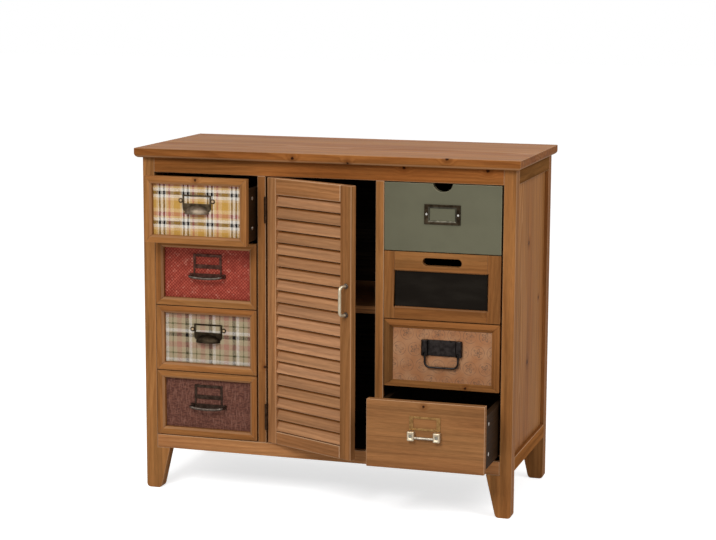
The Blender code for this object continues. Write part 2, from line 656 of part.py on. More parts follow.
# Drawer 6: a chalkboard below a finger slot.
board_front = framed_front(6, (BOARD_LEFT, BOARD_BOTTOM), (BOARD_RIGHT, BOARD_TOP), BOARD_CHAMFER,
                           BOARD_DEPTH, BOARD_DEPTH, CHALKBOARD)
slot = rectangle(SLOT_WIDTH, SLOT_HEIGHT, SLOT_HEIGHT / 2 - WELD, (0, FRONT_HEIGHT / 2 - SLOT_FROM_TOP))
slot_mesh = sheet_mesh("slot", [slot], FRONT_THICKNESS + 2 * OVERCUT, FACING_FRONT)
combine(board_front, tool(slot_mesh, drawers[6], (0, FRONT_THICKNESS / 2, 0)), "DIFFERENCE")

# Drawer 8: a plain slab.
half_x = front_widths[8] / 2
board("drawer_8_front", (-half_x, 0, -FRONT_HEIGHT / 2), (half_x, FRONT_THICKNESS, FRONT_HEIGHT / 2), PINE,
      drawers[8], FRONT_EASE, 2)


# Pulls

def card_window(width, height, side, top, bottom):
    """The opening of a card frame, inside its borders."""
    return rectangle(width - 2 * side, height - top - bottom, 0.0, (0, (bottom - top) / 2))


def card_frame(name, width, height, side, top, bottom, thickness):
    """A flat frame that holds a paper card."""
    outlines = [rectangle(width, height, PULL_CORNER), card_window(width, height, side, top, bottom)]
    return sheet_mesh(name, outlines, thickness, FACING_FRONT)


def cup_mesh():
    """A finger cup: a quarter of an ellipsoid shell, open below and behind."""
    bm = bmesh.new()
    bmesh.ops.create_uvsphere(bm, u_segments=ROUND_SIDES, v_segments=ROUND_SIDES // 2, radius=1.0)
    for normal in ((0, 1, 0), (0, 0, -1)):
        everything = bm.verts[:] + bm.edges[:] + bm.faces[:]
        bmesh.ops.bisect_plane(bm, geom=everything, dist=WELD, plane_co=(0, 0, 0), plane_no=normal,
                               clear_outer=True)
    bmesh.ops.scale(bm, vec=(CUP_WIDTH / 2, CUP_REACH, CUP_HEIGHT), verts=bm.verts)
    return mesh_of(bm, "cup")


def cup_pull(number):
    """Card frame with two eared screw plates, and a finger cup below it."""
    drawer = drawers[number]
    back = CLOTH_DEPTH
    middle_y = back - PULL_PLATE / 2
    frame = card_frame("card_frame", CUP_CARD_WIDTH, CUP_CARD_HEIGHT, CUP_CARD_SIDE, CUP_CARD_TOP,
                       CUP_CARD_BOTTOM, PULL_PLATE)
    pull = part(f"drawer_{number}_cup_pull", frame, BRONZE, drawer, (0, middle_y, CUP_CARD_Z))
    for side in (-1, 1):
        ear = rod_mesh("ear", CUP_EAR, CUP_EAR_PLATE, "Y")
        ear_x = side * (CUP_CARD_WIDTH / 2 + CUP_EAR_OUT)
        combine(pull, tool(ear, drawer, (ear_x, middle_y, CUP_CARD_Z)), "UNION")
    mouth_z = CUP_CARD_Z - CUP_CARD_HEIGHT / 2 + CUP_LAP - CUP_HEIGHT
    cup = tool(cup_mesh(), drawer, (0, back - PULL_SINK, mouth_z))
    shell = cup.modifiers.new("shell", "SOLIDIFY")
    shell.thickness = CUP_WALL
    shell.offset = -1.0
    combine(pull, cup, "UNION")


def bow_pull(number):
    """Card frame on a back plate with a fixed bow bar below it."""
    drawer = drawers[number]
    back = CLOTH_DEPTH
    middle_y = back - PULL_PLATE / 2
    card_low = -BOW_CARD_HEIGHT / 2
    foot_top = card_low - BOW_NECK
    foot_x = BOW_FOOT_WIDTH / 2
    card_x = BOW_CARD_WIDTH / 2
    half = [(foot_x, foot_top - BOW_FOOT_HEIGHT, PULL_CORNER), (foot_x, foot_top - BOW_SHOULDER, PULL_CORNER),
            (card_x, foot_top, 0), (card_x, BOW_CARD_HEIGHT / 2, PULL_CORNER)]
    corners = half + [(-x, z, radius) for x, z, radius in reversed(half)]
    outer = rounded([((x, z), radius) for x, z, radius in corners])
    window = card_window(BOW_CARD_WIDTH, BOW_CARD_HEIGHT, BOW_CARD_SIDE, BOW_CARD_TOP, BOW_CARD_BOTTOM)
    between_straps = rectangle(BOW_CARD_WIDTH - 2 * BOW_STRAP, BOW_NECK - PULL_CORNER, PULL_CORNER,
                               (0, card_low - BOW_NECK / 2))
    plate = sheet_mesh("bow_plate", [outer, window, between_straps], PULL_PLATE, FACING_FRONT)
    pull = part(f"drawer_{number}_bow_pull", plate, BRONZE, drawer, (0, middle_y, BOW_CARD_Z))
    foot_z = BOW_CARD_Z + foot_top - BOW_FOOT_HEIGHT / 2
    half_x = BOW_SPACING / 2
    for side in (-1, 1):
        boss = rod_mesh("boss", BOW_BOSS, BOW_BOSS_HEIGHT, "Y")
        boss_y = back - PULL_SINK - BOW_BOSS_HEIGHT / 2
        combine(pull, tool(boss, drawer, (side * half_x, boss_y, foot_z)), "UNION")
    path = [((-half_x, back - PULL_PLATE / 2, foot_z), 0), ((-half_x, back - BOW_REACH, foot_z), BOW_BEND),
            ((0, back - BOW_REACH, foot_z - BOW_DROOP), BOW_SPACING),
            ((half_x, back - BOW_REACH, foot_z), BOW_BEND), ((half_x, back - PULL_PLATE / 2, foot_z), 0)]
    combine(pull, tool(tube_mesh("bow", rounded(path, False), BOW_RADIUS), drawer), "UNION")


for number in (1, 3):
    cup_pull(number)
for number in (2, 4):
    bow_pull(number)

holder = card_frame("holder", HOLDER_WIDTH, HOLDER_HEIGHT, HOLDER_SIDE_BORDER, HOLDER_BORDER, HOLDER_BORDER,
                    HOLDER_PLATE)
part("drawer_5_card_holder", holder, BRONZE, drawers[5], (0, -GLUE_GAP - HOLDER_PLATE / 2, HOLDER_Z))

# Drawer 7: a plate with two hollow end caps, and a bail that swings in them.
drawer = drawers[7]
plate_mesh = sheet_mesh("bail_plate", [rectangle(BAIL_PLATE_WIDTH, BAIL_PLATE_HEIGHT, BAIL_PLATE_CORNER)],
                        BAIL_PLATE, FACING_FRONT)
bail_plate = part("drawer_7_bail_plate", plate_mesh, BLACK_IRON, drawer,
                  (0, FRAME_DEPTH - BAIL_PLATE / 2, BAIL_PLATE_Z))
plate_low_z = BAIL_PLATE_Z - BAIL_PLATE_HEIGHT / 2
pivot = Vector((0, FRAME_DEPTH - BAIL_PIVOT_REACH, plate_low_z + BAIL_PIVOT_UP))
slot_half = BAIL_RADIUS + BAIL_PLAY
for side in (-1, 1):
    outer_x = side * BAIL_PLATE_WIDTH / 2
    cap_x = sorted((outer_x, outer_x - side * BAIL_CAP_WIDTH))
    cap_low = (cap_x[0], FRAME_DEPTH - BAIL_CAP_HEIGHT, plate_low_z)
    cap_high = (cap_x[1], FRAME_DEPTH - PULL_SINK, plate_low_z + BAIL_PLATE_HEIGHT)
    join_block(bail_plate, cap_low, cap_high, drawer, BAIL_CAP_EASE)
    arm_x = side * BAIL_SPACING / 2
    swing = math.hypot(BAIL_RADIUS, BAIL_PIN) + BAIL_PLAY
    cut_block(bail_plate, (arm_x - slot_half, FRAME_DEPTH - BAIL_CAP_HEIGHT - OVERCUT, plate_low_z - OVERCUT),
              (arm_x + slot_half, pivot.y + swing, pivot.z + swing), drawer)
    hole = rod_mesh("hole", BAIL_PIN + BAIL_PLAY, BAIL_PIN_LENGTH + 2 * BAIL_PLAY, "X")
    combine(bail_plate, tool(hole, drawer, (arm_x, pivot.y, pivot.z)), "DIFFERENCE")
bail_axis = axis_at("drawer_7_bail_axis", pivot, drawer)
half_x = BAIL_SPACING / 2
bail_path = [((-half_x, 0, BAIL_PIN), 0), ((-half_x, 0, -BAIL_DROP), BAIL_BEND),
             ((half_x, 0, -BAIL_DROP), BAIL_BEND), ((half_x, 0, BAIL_PIN), 0)]
bail = part("drawer_7_bail", tube_mesh("bail", rounded(bail_path, False), BAIL_RADIUS), BLACK_IRON, bail_axis)
for side in (-1, 1):
    pin = rod_mesh("pin", BAIL_PIN, BAIL_PIN_LENGTH, "X")
    combine(bail, tool(pin, bail_axis, (side * half_x, 0, 0)), "UNION")

# Drawer 8: a brass card frame and, below it, a bar on two square posts.
bar_frame = card_frame("bar_frame", BAR_CARD_WIDTH, BAR_CARD_HEIGHT, BAR_CARD_SIDE_BORDER, BAR_CARD_BORDER,
                       BAR_CARD_BORDER, BAR_CARD_PLATE)
part("drawer_8_card_frame", bar_frame, BRASS, drawers[8], (0, -GLUE_GAP - BAR_CARD_PLATE / 2, BAR_CARD_Z))
post_high = BAR_CARD_Z - BAR_CARD_HEIGHT / 2 - BAR_GAP
post_low = post_high - BAR_POST_HEIGHT
bar_z = (post_low + post_high) / 2 - BAR_DROP
bar_y = -GLUE_GAP - BAR_POST_REACH + 2 * BAR_RADIUS
bar = part("drawer_8_bar_handle", rod_mesh("bar", BAR_RADIUS, BAR_SPACING, "X"), NICKEL, drawers[8],
           (0, bar_y, bar_z))
for side in (-1, 1):
    post_x = side * BAR_SPACING / 2
    join_block(bar, (post_x - BAR_POST_WIDTH / 2, -GLUE_GAP - BAR_POST_REACH, post_low),
               (post_x + BAR_POST_WIDTH / 2, -GLUE_GAP, post_high), drawers[8], FRONT_EASE)


# Door

door = axis_at("door_hinge_axis", (HINGE_X, HINGE_Y, DOOR_LOW))
door.rotation_euler.z = -math.radians(DOOR_AJAR)
door_left = DOOR_SIDE_GAP / 2
door_right = door_left + DOOR_WIDTH
door_front = FRONT_Y - HINGE_Y
door_back = door_front + DOOR_THICKNESS
field_low = DOOR_BOTTOM_RAIL
field_high = DOOR_HEIGHT - DOOR_TOP_RAIL
field_left = door_left + HINGE_STILE
field_right = door_right - LOCK_STILE
for rail_name, low_z, high_z in (("bottom", 0.0, field_low), ("top", field_high, DOOR_HEIGHT)):
    board(f"door_{rail_name}_rail", (field_left + GLUE_GAP, door_front, low_z),
          (field_right - GLUE_GAP, door_back, high_z), PINE, door, FRONT_EASE)
hinge_stile = board("door_hinge_stile_and_slats", (door_left, door_front, 0),
                    (field_left, door_back, DOOR_HEIGHT), PINE, door, FRONT_EASE)
lock_stile = board("door_lock_stile", (field_right, door_front, 0), (door_right, door_back, DOOR_HEIGHT),
                   PINE, door, FRONT_EASE)

tilt = math.radians(SLAT_TILT)
slat_rise = SLAT_WIDTH * math.cos(tilt) + SLAT_THICKNESS * math.sin(tilt)
first_slat = field_low + SLAT_END_GAP + slat_rise / 2
last_slat = field_high - SLAT_END_GAP - slat_rise / 2
slat_middle_y = (door_front + door_back) / 2


def slat_mesh(low_x, high_x, grow):
    """One slat from x to x, leaning so that its lower edge is forward; grow widens it to a mortise."""
    section = rectangle(SLAT_THICKNESS + 2 * grow, SLAT_WIDTH + 2 * grow, SLAT_ROUND + grow)
    lean = FACING_SIDE @ Matrix.Rotation(-tilt, 4, "Z")
    return sheet_mesh("slat", [section], high_x - low_x, lean)


def add_slats(piece, low_x, high_x, grow, operation):
    mesh = slat_mesh(low_x, high_x, grow)
    for i in range(SLAT_COUNT):
        z = first_slat + (last_slat - first_slat) * i / (SLAT_COUNT - 1)
        combine(piece, tool(mesh, door, ((low_x + high_x) / 2, slat_middle_y, z)), operation)


add_slats(hinge_stile, field_left - SLAT_TENON, field_right + SLAT_TENON - GLUE_GAP, 0.0, "UNION")
add_slats(lock_stile, field_right - OVERCUT, field_right + SLAT_TENON, GLUE_GAP, "DIFFERENCE")

# The handle is a bow on two round feet, near the outer edge of the lock stile.
handle_x = door_right - HANDLE_FROM_EDGE
handle_back = door_front - GLUE_GAP
half_z = HANDLE_SPACING / 2
foot_y = -HANDLE_FOOT_HEIGHT / 2
grip_y = -HANDLE_REACH + HANDLE_RADIUS
handle_path = [((0, foot_y, -half_z), 0), ((0, grip_y, -half_z), HANDLE_BEND),
               ((0, grip_y, half_z), HANDLE_BEND), ((0, foot_y, half_z), 0)]
handle = part("door_handle", tube_mesh("handle", rounded(handle_path, False), HANDLE_RADIUS), NICKEL, door,
              (handle_x, handle_back, HANDLE_LEVEL))
for side in (-1, 1):
    foot = rod_mesh("foot", HANDLE_FOOT, HANDLE_FOOT_HEIGHT, "Y")
    foot_at = (handle_x, handle_back + foot_y, HANDLE_LEVEL + side * half_z)
    combine(handle, tool(foot, door, foot_at), "UNION")

# Two butt hinges: the frame leaf holds the pin and the outer knuckles, the door leaf the middle one.
knuckle = HINGE_HEIGHT / 3
leaf_start = KNUCKLE_RADIUS + KNUCKLE_GAP
frame_leaf_x = (-DOOR_SIDE_GAP / 2 + GLUE_GAP, -DOOR_SIDE_GAP / 2 + GLUE_GAP + HINGE_LEAF)
door_leaf_x = (DOOR_SIDE_GAP / 2 - GLUE_GAP - HINGE_LEAF, DOOR_SIDE_GAP / 2 - GLUE_GAP)


def hinge_leaf(name, parent, leaf_x, middle_z, knuckle_heights):
    """A leaf in the gap beside the door with a tab and a barrel at each of its knuckles."""
    leaf = board(name, (leaf_x[0], leaf_start, middle_z - HINGE_HEIGHT / 2),
                 (leaf_x[1], leaf_start + HINGE_LEAF_DEPTH, middle_z + HINGE_HEIGHT / 2), BRONZE, parent, 0.0)
    for height in knuckle_heights:
        low_z = middle_z + height - knuckle / 2 + KNUCKLE_GAP / 2
        high_z = middle_z + height + knuckle / 2 - KNUCKLE_GAP / 2
        join_block(leaf, (leaf_x[0], KNUCKLE_RADIUS / 2, low_z),
                   (leaf_x[1], leaf_start + KNUCKLE_RADIUS, high_z), parent)
        barrel = rod_mesh("barrel", KNUCKLE_RADIUS, high_z - low_z, "Z")
        combine(leaf, tool(barrel, parent, (0, 0, middle_z + height)), "UNION")
    return leaf


frame_side = axis_at("door_frame_side", (HINGE_X, HINGE_Y, DOOR_LOW))
for hinge_name, middle_z in (("upper", DOOR_HEIGHT - HINGE_FROM_TOP - HINGE_HEIGHT / 2),
                             ("lower", HINGE_FROM_BOTTOM + HINGE_HEIGHT / 2)):
    frame_leaf = hinge_leaf(f"hinge_{hinge_name}_frame_leaf", frame_side, frame_leaf_x, middle_z,
                            (-knuckle, knuckle))
    pin = rod_mesh("pin", HINGE_PIN, HINGE_HEIGHT - knuckle, "Z")
    combine(frame_leaf, tool(pin, frame_side, (0, 0, middle_z)), "UNION")
    door_leaf = hinge_leaf(f"hinge_{hinge_name}_door_leaf", door, door_leaf_x, middle_z, (0.0,))
    bore = rod_mesh("bore", HINGE_PIN + HINGE_PIN_PLAY, HINGE_HEIGHT, "Z")
    combine(door_leaf, tool(bore, door, (0, 0, middle_z)), "DIFFERENCE")

for piece in CHEST.objects:
    if piece.type == "MESH":
        piece.data.shade_smooth()
        piece.data.set_sharp_from_angle(angle=SHARP)
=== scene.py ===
import json
import math

import bpy
from mathutils import Matrix, Vector


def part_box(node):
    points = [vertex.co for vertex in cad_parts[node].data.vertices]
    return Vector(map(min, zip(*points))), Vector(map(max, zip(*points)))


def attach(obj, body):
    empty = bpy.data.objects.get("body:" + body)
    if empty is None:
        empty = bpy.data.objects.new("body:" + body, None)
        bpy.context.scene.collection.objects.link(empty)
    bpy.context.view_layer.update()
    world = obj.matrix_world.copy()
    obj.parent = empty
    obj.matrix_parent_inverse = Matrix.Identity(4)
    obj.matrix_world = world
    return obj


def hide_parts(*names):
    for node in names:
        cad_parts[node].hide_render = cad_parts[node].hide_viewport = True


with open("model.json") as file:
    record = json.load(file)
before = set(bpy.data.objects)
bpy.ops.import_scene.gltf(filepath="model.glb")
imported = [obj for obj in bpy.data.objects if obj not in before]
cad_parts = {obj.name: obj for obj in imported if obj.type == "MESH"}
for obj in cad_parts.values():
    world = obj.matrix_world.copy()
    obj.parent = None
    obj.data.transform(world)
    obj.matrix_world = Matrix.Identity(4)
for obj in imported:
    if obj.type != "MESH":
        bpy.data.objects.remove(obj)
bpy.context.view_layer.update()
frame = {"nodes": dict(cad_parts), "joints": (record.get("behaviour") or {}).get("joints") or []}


# Studio. A white floor that runs out into a white surround, a broad soft lamp high on the left, a
# second soft lamp on the right and an even glow all round. The camera stands well to the right of
# the chest and a little above its top.
CAMERA_FROM_FRONT = (1.28858, -3.94553, 1.20321)
CAMERA_YAW = 0.29733
CAMERA_PITCH = 0.15886
CAMERA_ROLL = 0.00438
CAMERA_LENS = 94.296
SENSOR_WIDTH = 36
SURROUND_GLOW = 0.40
FLOOR_SIZE = 40.0
FLOOR_WHITE = (0.86, 0.86, 0.86, 1)
FLOOR_LIFT = 0.68
WHITE_LIGHT = (1, 1, 1, 1)


def wire(tree, inputs, sockets):
    """Gives each socket a value, or leads another node's output to it."""
    for socket, value in sockets.items():
        if isinstance(value, bpy.types.NodeSocket):
            tree.links.new(value, inputs[socket])
        else:
            inputs[socket].default_value = value


def put(tree, kind, sockets=None, **settings):
    """One shader node with its settings and its sockets."""
    node = tree.nodes.new(kind)
    for setting, value in settings.items():
        setattr(node, setting, value)
    wire(tree, node.inputs, sockets or {})
    return node


def calc(tree, operation, *terms):
    return put(tree, "ShaderNodeMath", dict(enumerate(terms)), operation=operation).outputs[0]


def new_finish(name):
    """A new material, with its tree and the sockets of its shader."""
    finish = bpy.data.materials.new(name)
    finish.use_nodes = True
    return finish, finish.node_tree, finish.node_tree.nodes["Principled BSDF"].inputs


def coat(finish, *pieces):
    for piece in pieces:
        piece.data.materials.append(finish)


def start_with(name, add, scale=(1, 1, 1), **settings):
    """A primitive at its size and place, added with nothing else selected, its place in its mesh."""
    bpy.ops.object.select_all(action="DESELECT")
    add(**settings)
    piece = bpy.context.active_object
    piece.name = piece.data.name = name
    piece.scale = scale
    bpy.ops.object.transform_apply(location=True, rotation=True, scale=True)
    return piece


def soft_lamp(name, place, aim, size, watts):
    """A square area lamp at a place, turned towards a point."""
    bpy.ops.object.light_add(type="AREA", location=place)
    lamp = bpy.context.active_object
    lamp.name = name
    lamp.rotation_euler = (Vector(aim) - Vector(place)).to_track_quat("-Z", "Y").to_euler()
    lamp.data.size = size
    lamp.data.energy = watts


scene = bpy.context.scene
scene.view_settings.view_transform = "Standard"
front_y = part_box("post_front_left")[0].y
scene.camera = bpy.data.objects.new("camera", bpy.data.cameras.new("camera"))
scene.collection.objects.link(scene.camera)
scene.camera.data.sensor_width = SENSOR_WIDTH
scene.camera.data.lens = CAMERA_LENS
scene.camera.matrix_world = (
    Matrix.Translation(Vector(CAMERA_FROM_FRONT) + Vector((0, front_y, 0)))
    @ Matrix.Rotation(CAMERA_YAW, 4, "Z")
    @ Matrix.Rotation(math.pi / 2 - CAMERA_PITCH, 4, "X")
    @ Matrix.Rotation(CAMERA_ROLL, 4, "Z"))

scene.world = bpy.data.worlds.new("studio")
scene.world.use_nodes = True
tree = scene.world.node_tree
tree.nodes.clear()
rays = put(tree, "ShaderNodeLightPath").outputs
seen = calc(tree, "MAXIMUM", rays["Is Camera Ray"], rays["Is Glossy Ray"])
seen = calc(tree, "MAXIMUM", seen, rays["Is Transmission Ray"])
glow = put(tree, "ShaderNodeMapRange", {"Value": seen, "To Min": SURROUND_GLOW, "To Max": 1.0})
surround = put(tree, "ShaderNodeBackground", {"Color": WHITE_LIGHT, "Strength": glow.outputs[0]})
put(tree, "ShaderNodeOutputWorld", {"Surface": surround.outputs[0]})

floor = start_with("floor", bpy.ops.mesh.primitive_plane_add, size=FLOOR_SIZE)
white_paper, tree, paper = new_finish("white_paper")
lift = calc(tree, "MULTIPLY", put(tree, "ShaderNodeLightPath").outputs["Is Camera Ray"], FLOOR_LIFT)
wire(tree, paper, {"Base Color": FLOOR_WHITE, "Roughness": 0.9, "Specular IOR Level": 0.0,
                   "Emission Color": WHITE_LIGHT, "Emission Strength": lift})
coat(white_paper, floor)
soft_lamp("lamp_left", (-0.3, -3.9, 3.0), (0.0, 0.0, 0.4), 1.6, 122)
soft_lamp("lamp_right", (3.0, -1.0, 3.0), (0.2, 0.0, 0.4), 2.0, 50)


# Corner posts. Four square pine posts, planed, stained a warm honey brown and lacquered to a satin
# sheen, each sawn at the bottom to a foot that tapers on its inner side. Their arrises are eased, and
# there the colour is lighter, partly wear and partly a painted highlight.
PINE_HONEY = (0.315, 0.137, 0.0430, 1)
PINE_RUSSET = (0.265, 0.102, 0.0290, 1)
PINE_LATE = (0.150, 0.047, 0.0110, 1)
PINE_PALE = (0.400, 0.205, 0.1050, 1)
PINE_ARRIS_WEAR_AND_HIGHLIGHT = (0.560, 0.360, 0.2200, 1)
PINE_KNOT = (0.032, 0.010, 0.0040, 1)
PITH_DEPTH = 0.085
RING_WIDTH = 0.0085
RING_WANDER = 0.034
KNOT_PUSH = 0.012
FIRST_SEED = 0.37
SEED_STEP = 1.618
SURFACE = {"Color": "Color", "Roughness": "Float", "Height": "Float"}


def vec(tree, operation, *terms):
    node = put(tree, "ShaderNodeVectorMath", dict(enumerate(terms)), operation=operation)
    return node.outputs["Value" if operation in ("LENGTH", "DISTANCE") else "Vector"]


def split(tree, vector):
    return put(tree, "ShaderNodeSeparateXYZ", {0: vector}).outputs


def coords(tree, kind="Object"):
    return put(tree, "ShaderNodeTexCoord").outputs[kind]


def mix(tree, share, first, second, way="MIX"):
    """Two colours mixed by a share, or one multiplied by the other."""
    sockets = {0: share, 6: first, 7: second}
    return put(tree, "ShaderNodeMix", sockets, data_type="RGBA", blend_type=way).outputs[2]


def fade(tree, value, start, end, low=0.0, high=1.0):
    """A smooth passage from low to high while a value goes from start to end."""
    sockets = {"Value": value, "From Min": start, "From Max": end, "To Min": low, "To Max": high}
    return put(tree, "ShaderNodeMapRange", sockets, interpolation_type="SMOOTHSTEP").outputs[0]


def noise(tree, place, stretch, detail=2.0):
    """Cloudy variation, stretched by one factor or by a factor along each axis."""
    stretch = stretch if isinstance(stretch, tuple) else (stretch,) * 3
    sockets = {"Vector": vec(tree, "MULTIPLY", place, stretch), "Scale": 1.0, "Detail": detail}
    return put(tree, "ShaderNodeTexNoise", sockets).outputs[0]


def shader_group(name, takes, gives):
    """An empty node group with named sockets; returns its tree, what comes in and what goes out."""
    tree = bpy.data.node_groups.new(name, "ShaderNodeTree")
    for way, sockets in (("INPUT", takes), ("OUTPUT", gives)):
        for socket, kind in sockets.items():
            tree.interface.new_socket(socket, in_out=way, socket_type="NodeSocket" + kind)
    return tree, tree.nodes.new("NodeGroupInput").outputs, tree.nodes.new("NodeGroupOutput").inputs


def use(tree, group, **sockets):
    """A node group placed in a material with its own values; returns what it gives."""
    return put(tree, "ShaderNodeGroup", sockets, node_tree=group).outputs


def surface(tree, shader, color, roughness, height, relief, depth, gloss):
    """Leads colour, roughness and a fine relief to a shader and sets its gloss."""
    bump = put(tree, "ShaderNodeBump", {"Strength": relief, "Distance": depth, "Height": height})
    wire(tree, shader, {"Base Color": color, "Roughness": roughness, "Normal": bump.outputs[0],
                        "Specular IOR Level": gloss})


tree, given, made = shader_group(
    "pine_knot", {"Place": "Vector", "Middle": "Vector", "Size": "Float"},
    {"Mask": "Float", "Swirl": "Float"})
away = calc(tree, "DIVIDE", vec(tree, "DISTANCE", given["Place"], given["Middle"]), given["Size"])
away = calc(tree, "MULTIPLY_ADD", noise(tree, given["Place"], 240), 0.9, away)
wire(tree, made, {"Mask": fade(tree, away, 0.85, 1.45, 1.0, 0.0),
                  "Swirl": fade(tree, away, 0.4, 5.5, 1.0, 0.0)})
knot_group = tree

# Arris mask: faces turned away from the axes, on arrises and slopes, are coloured lighter, partly wear and
# partly a painted highlight.
tree, given, made = shader_group("rubbed_arris", {"Normal": "Vector", "Share": "Float"}, {"Mask": "Float"})
sides = split(tree, vec(tree, "ABSOLUTE", given["Normal"]))
flattest = calc(tree, "MAXIMUM", calc(tree, "MAXIMUM", sides[0], sides[1]), sides[2])
wire(tree, made, {"Mask": fade(tree, flattest, 0.97, 0.80, 0.0, given["Share"])})
arris_wear_and_highlight_group = tree

tree, given, made = shader_group(
    "pine_grain",
    {"Grain": "Vector"} | dict.fromkeys(("Seed", "Tone", "Pale", "Rings", "Rub", "Knot", "Swirl"), "Float"),
    SURFACE)
seed, swirl = given["Seed"], given["Swirl"]
seeds = put(tree, "ShaderNodeCombineXYZ", {i: seed for i in range(3)}).outputs[0]
in_log = vec(tree, "ADD", given["Grain"], vec(tree, "MULTIPLY", seeds, (1.7, 3.1, 5.3)))
wander = calc(tree, "SUBTRACT", noise(tree, in_log, (2.4, 13, 13)), 0.5)
lean, off = [calc(tree, "MULTIPLY", calc(tree, "SINE", calc(tree, "MULTIPLY", seed, rate)), reach)
             for rate, reach in ((2.3, 0.06), (5.1, 0.05))]
lengthways, across, deep = split(tree, given["Grain"])
ring_y = calc(tree, "ADD", calc(tree, "MULTIPLY_ADD", lengthways, lean, across), off)
ring_at = put(tree, "ShaderNodeCombineXYZ", {1: ring_y, 2: calc(tree, "ADD", deep, PITH_DEPTH)}).outputs[0]
radius = calc(tree, "MULTIPLY_ADD", wander, RING_WANDER, vec(tree, "LENGTH", ring_at))
radius = calc(tree, "MULTIPLY_ADD", swirl, KNOT_PUSH, radius)
ring = calc(tree, "FRACT", calc(tree, "DIVIDE", radius, RING_WIDTH))
late = calc(tree, "MULTIPLY", fade(tree, ring, 0.25, 0.88), fade(tree, ring, 0.9, 1.0, 1.0, 0.0))
fibre = noise(tree, in_log, (42, 820, 820), 3.0)
streak = fade(tree, noise(tree, in_log, (3.2, 105, 105), 3.0), 0.25, 0.75, 0.78, 1.22)
shade = calc(tree, "MULTIPLY", streak, fade(tree, fibre, 0.25, 0.75, 0.88, 1.12))
color = mix(tree, fade(tree, noise(tree, in_log, (2.0, 10, 10)), 0.36, 0.64), PINE_HONEY, PINE_RUSSET)
color = mix(tree, given["Pale"], color, PINE_PALE)
color = mix(tree, calc(tree, "MULTIPLY", late, given["Rings"]), color, PINE_LATE)
color = mix(tree, 1.0, color, calc(tree, "MULTIPLY", shade, given["Tone"]), "MULTIPLY")
# Lighter at the arrises: partly wear, partly a painted highlight.
color = mix(tree, given["Rub"], color, PINE_ARRIS_WEAR_AND_HIGHLIGHT)
color = mix(tree, fade(tree, swirl, 0.35, 0.9, 0.0, 0.45), color, PINE_LATE)
wire(tree, made, {
    "Color": mix(tree, given["Knot"], color, PINE_KNOT),
    "Roughness": calc(tree, "MULTIPLY_ADD", late, 0.10, fade(tree, fibre, 0.2, 0.8, 0.36, 0.50)),
    "Height": calc(tree, "MULTIPLY_ADD", late, 0.6, fibre)})
pine_group = tree

joints = {joint["name"]: joint for joint in frame["joints"]}
door_pin = Vector(joints["door_hinge"]["pos_m"])
door_turn = Matrix.Rotation(math.radians(joints["door_hinge"]["range_deg"][0]), 4, "Z")
board_count = 0


def grain_along(tree, place, axis):
    """A place with the axis of the grain, X, Y or Z, brought to the front."""
    axes = split(tree, place)
    first = "XYZ".index(axis)
    return put(tree, "ShaderNodeCombineXYZ", {i: axes[(first + i) % 3] for i in range(3)}).outputs[0]


def pine(name, low, high, axis, tone=1.0, knots=(), on_door=False, pale=0.0, rings=0.27, rubbed=0.6,
         gloss=0.03):
    """Stained pine for one board between two corners, its grain along an axis. Knots are (x, y, z, size).
    A board of the door is given as it lies with the door shut, and the pattern is turned with the door."""
    global board_count
    board_count += 1
    finish, tree, shader = new_finish(name)
    middle = (Vector(low) + Vector(high)) / 2
    shut = door_turn.inverted() if on_door else Matrix.Identity(4)
    turn = {"Rotation": shut.to_euler()}
    shift = {"Location": door_pin - shut @ door_pin - middle, "Vector": coords(tree)}
    place = put(tree, "ShaderNodeMapping", turn | shift).outputs[0]
    facing = put(tree, "ShaderNodeMapping", turn | {"Vector": coords(tree, "Normal")}, vector_type="NORMAL")
    rub = use(tree, arris_wear_and_highlight_group, Normal=facing.outputs[0], Share=rubbed)[0]
    marks = {}
    for x, y, z, size in knots:
        knot = use(tree, knot_group, Place=place, Middle=Vector((x, y, z)) - middle, Size=size)
        for mark, mask in (("Knot", knot["Mask"]), ("Swirl", knot["Swirl"])):
            marks[mark] = calc(tree, "MAXIMUM", mask, marks.get(mark, 0.0))
    grown = use(tree, pine_group, Grain=grain_along(tree, place, axis), Tone=tone, Pale=pale, Rings=rings,
                Rub=rub, Seed=FIRST_SEED + board_count * SEED_STEP, **marks)
    surface(tree, shader, *grown, 0.25, 0.0004, gloss)
    return finish


def dress(node, finish):
    """Gives a CAD node its finish."""
    frame["nodes"][node].data.materials.clear()
    coat(finish, frame["nodes"][node])


def board(node, axis, tone, knots=(), **look):
    """Gives a CAD node its own pine."""
    finish = pine(node, *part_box(node), axis, tone, knots, **look)
    dress(node, finish)
    return finish


for node in ("post_front_left", "post_front_right", "post_back_left", "post_back_right"):
    board(node, "Z", 0.97, rubbed=0.3)


# Rails and side panels. Pine rails tenoned between the posts, set back from their faces, and a pine
# panel in a groove at each end of the chest. The front top rail is tinted darker and redder all over,
# and the side top rails have a low tone: both are painted shade from the overhang of the top. The
# panels are glued up from narrow boards and carry small round knots.
RAIL_OVERHANG_SHADE = (1.0, 0.86, 0.74, 1)
rail_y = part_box("front_top_rail")[0].y
RAIL_KNOTS = [(0.184, rail_y, 0.7745, 0.0055), (0.373, rail_y, 0.7745, 0.0055)]
panel_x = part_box("side_panel_right")[1].x
PANEL_KNOTS = [(panel_x, 0.063, 0.594, 0.007), (panel_x, 0.066, 0.319, 0.008), (panel_x, 0.18, 0.45, 0.005)]


def overlay(finish, share, color, way="MIX"):
    """Lays another colour over a finish, by a share that is fixed or worked out in its tree."""
    tree = finish.node_tree
    base = tree.nodes["Principled BSDF"].inputs["Base Color"]
    tree.links.new(mix(tree, share, base.links[0].from_socket, color, way), base)


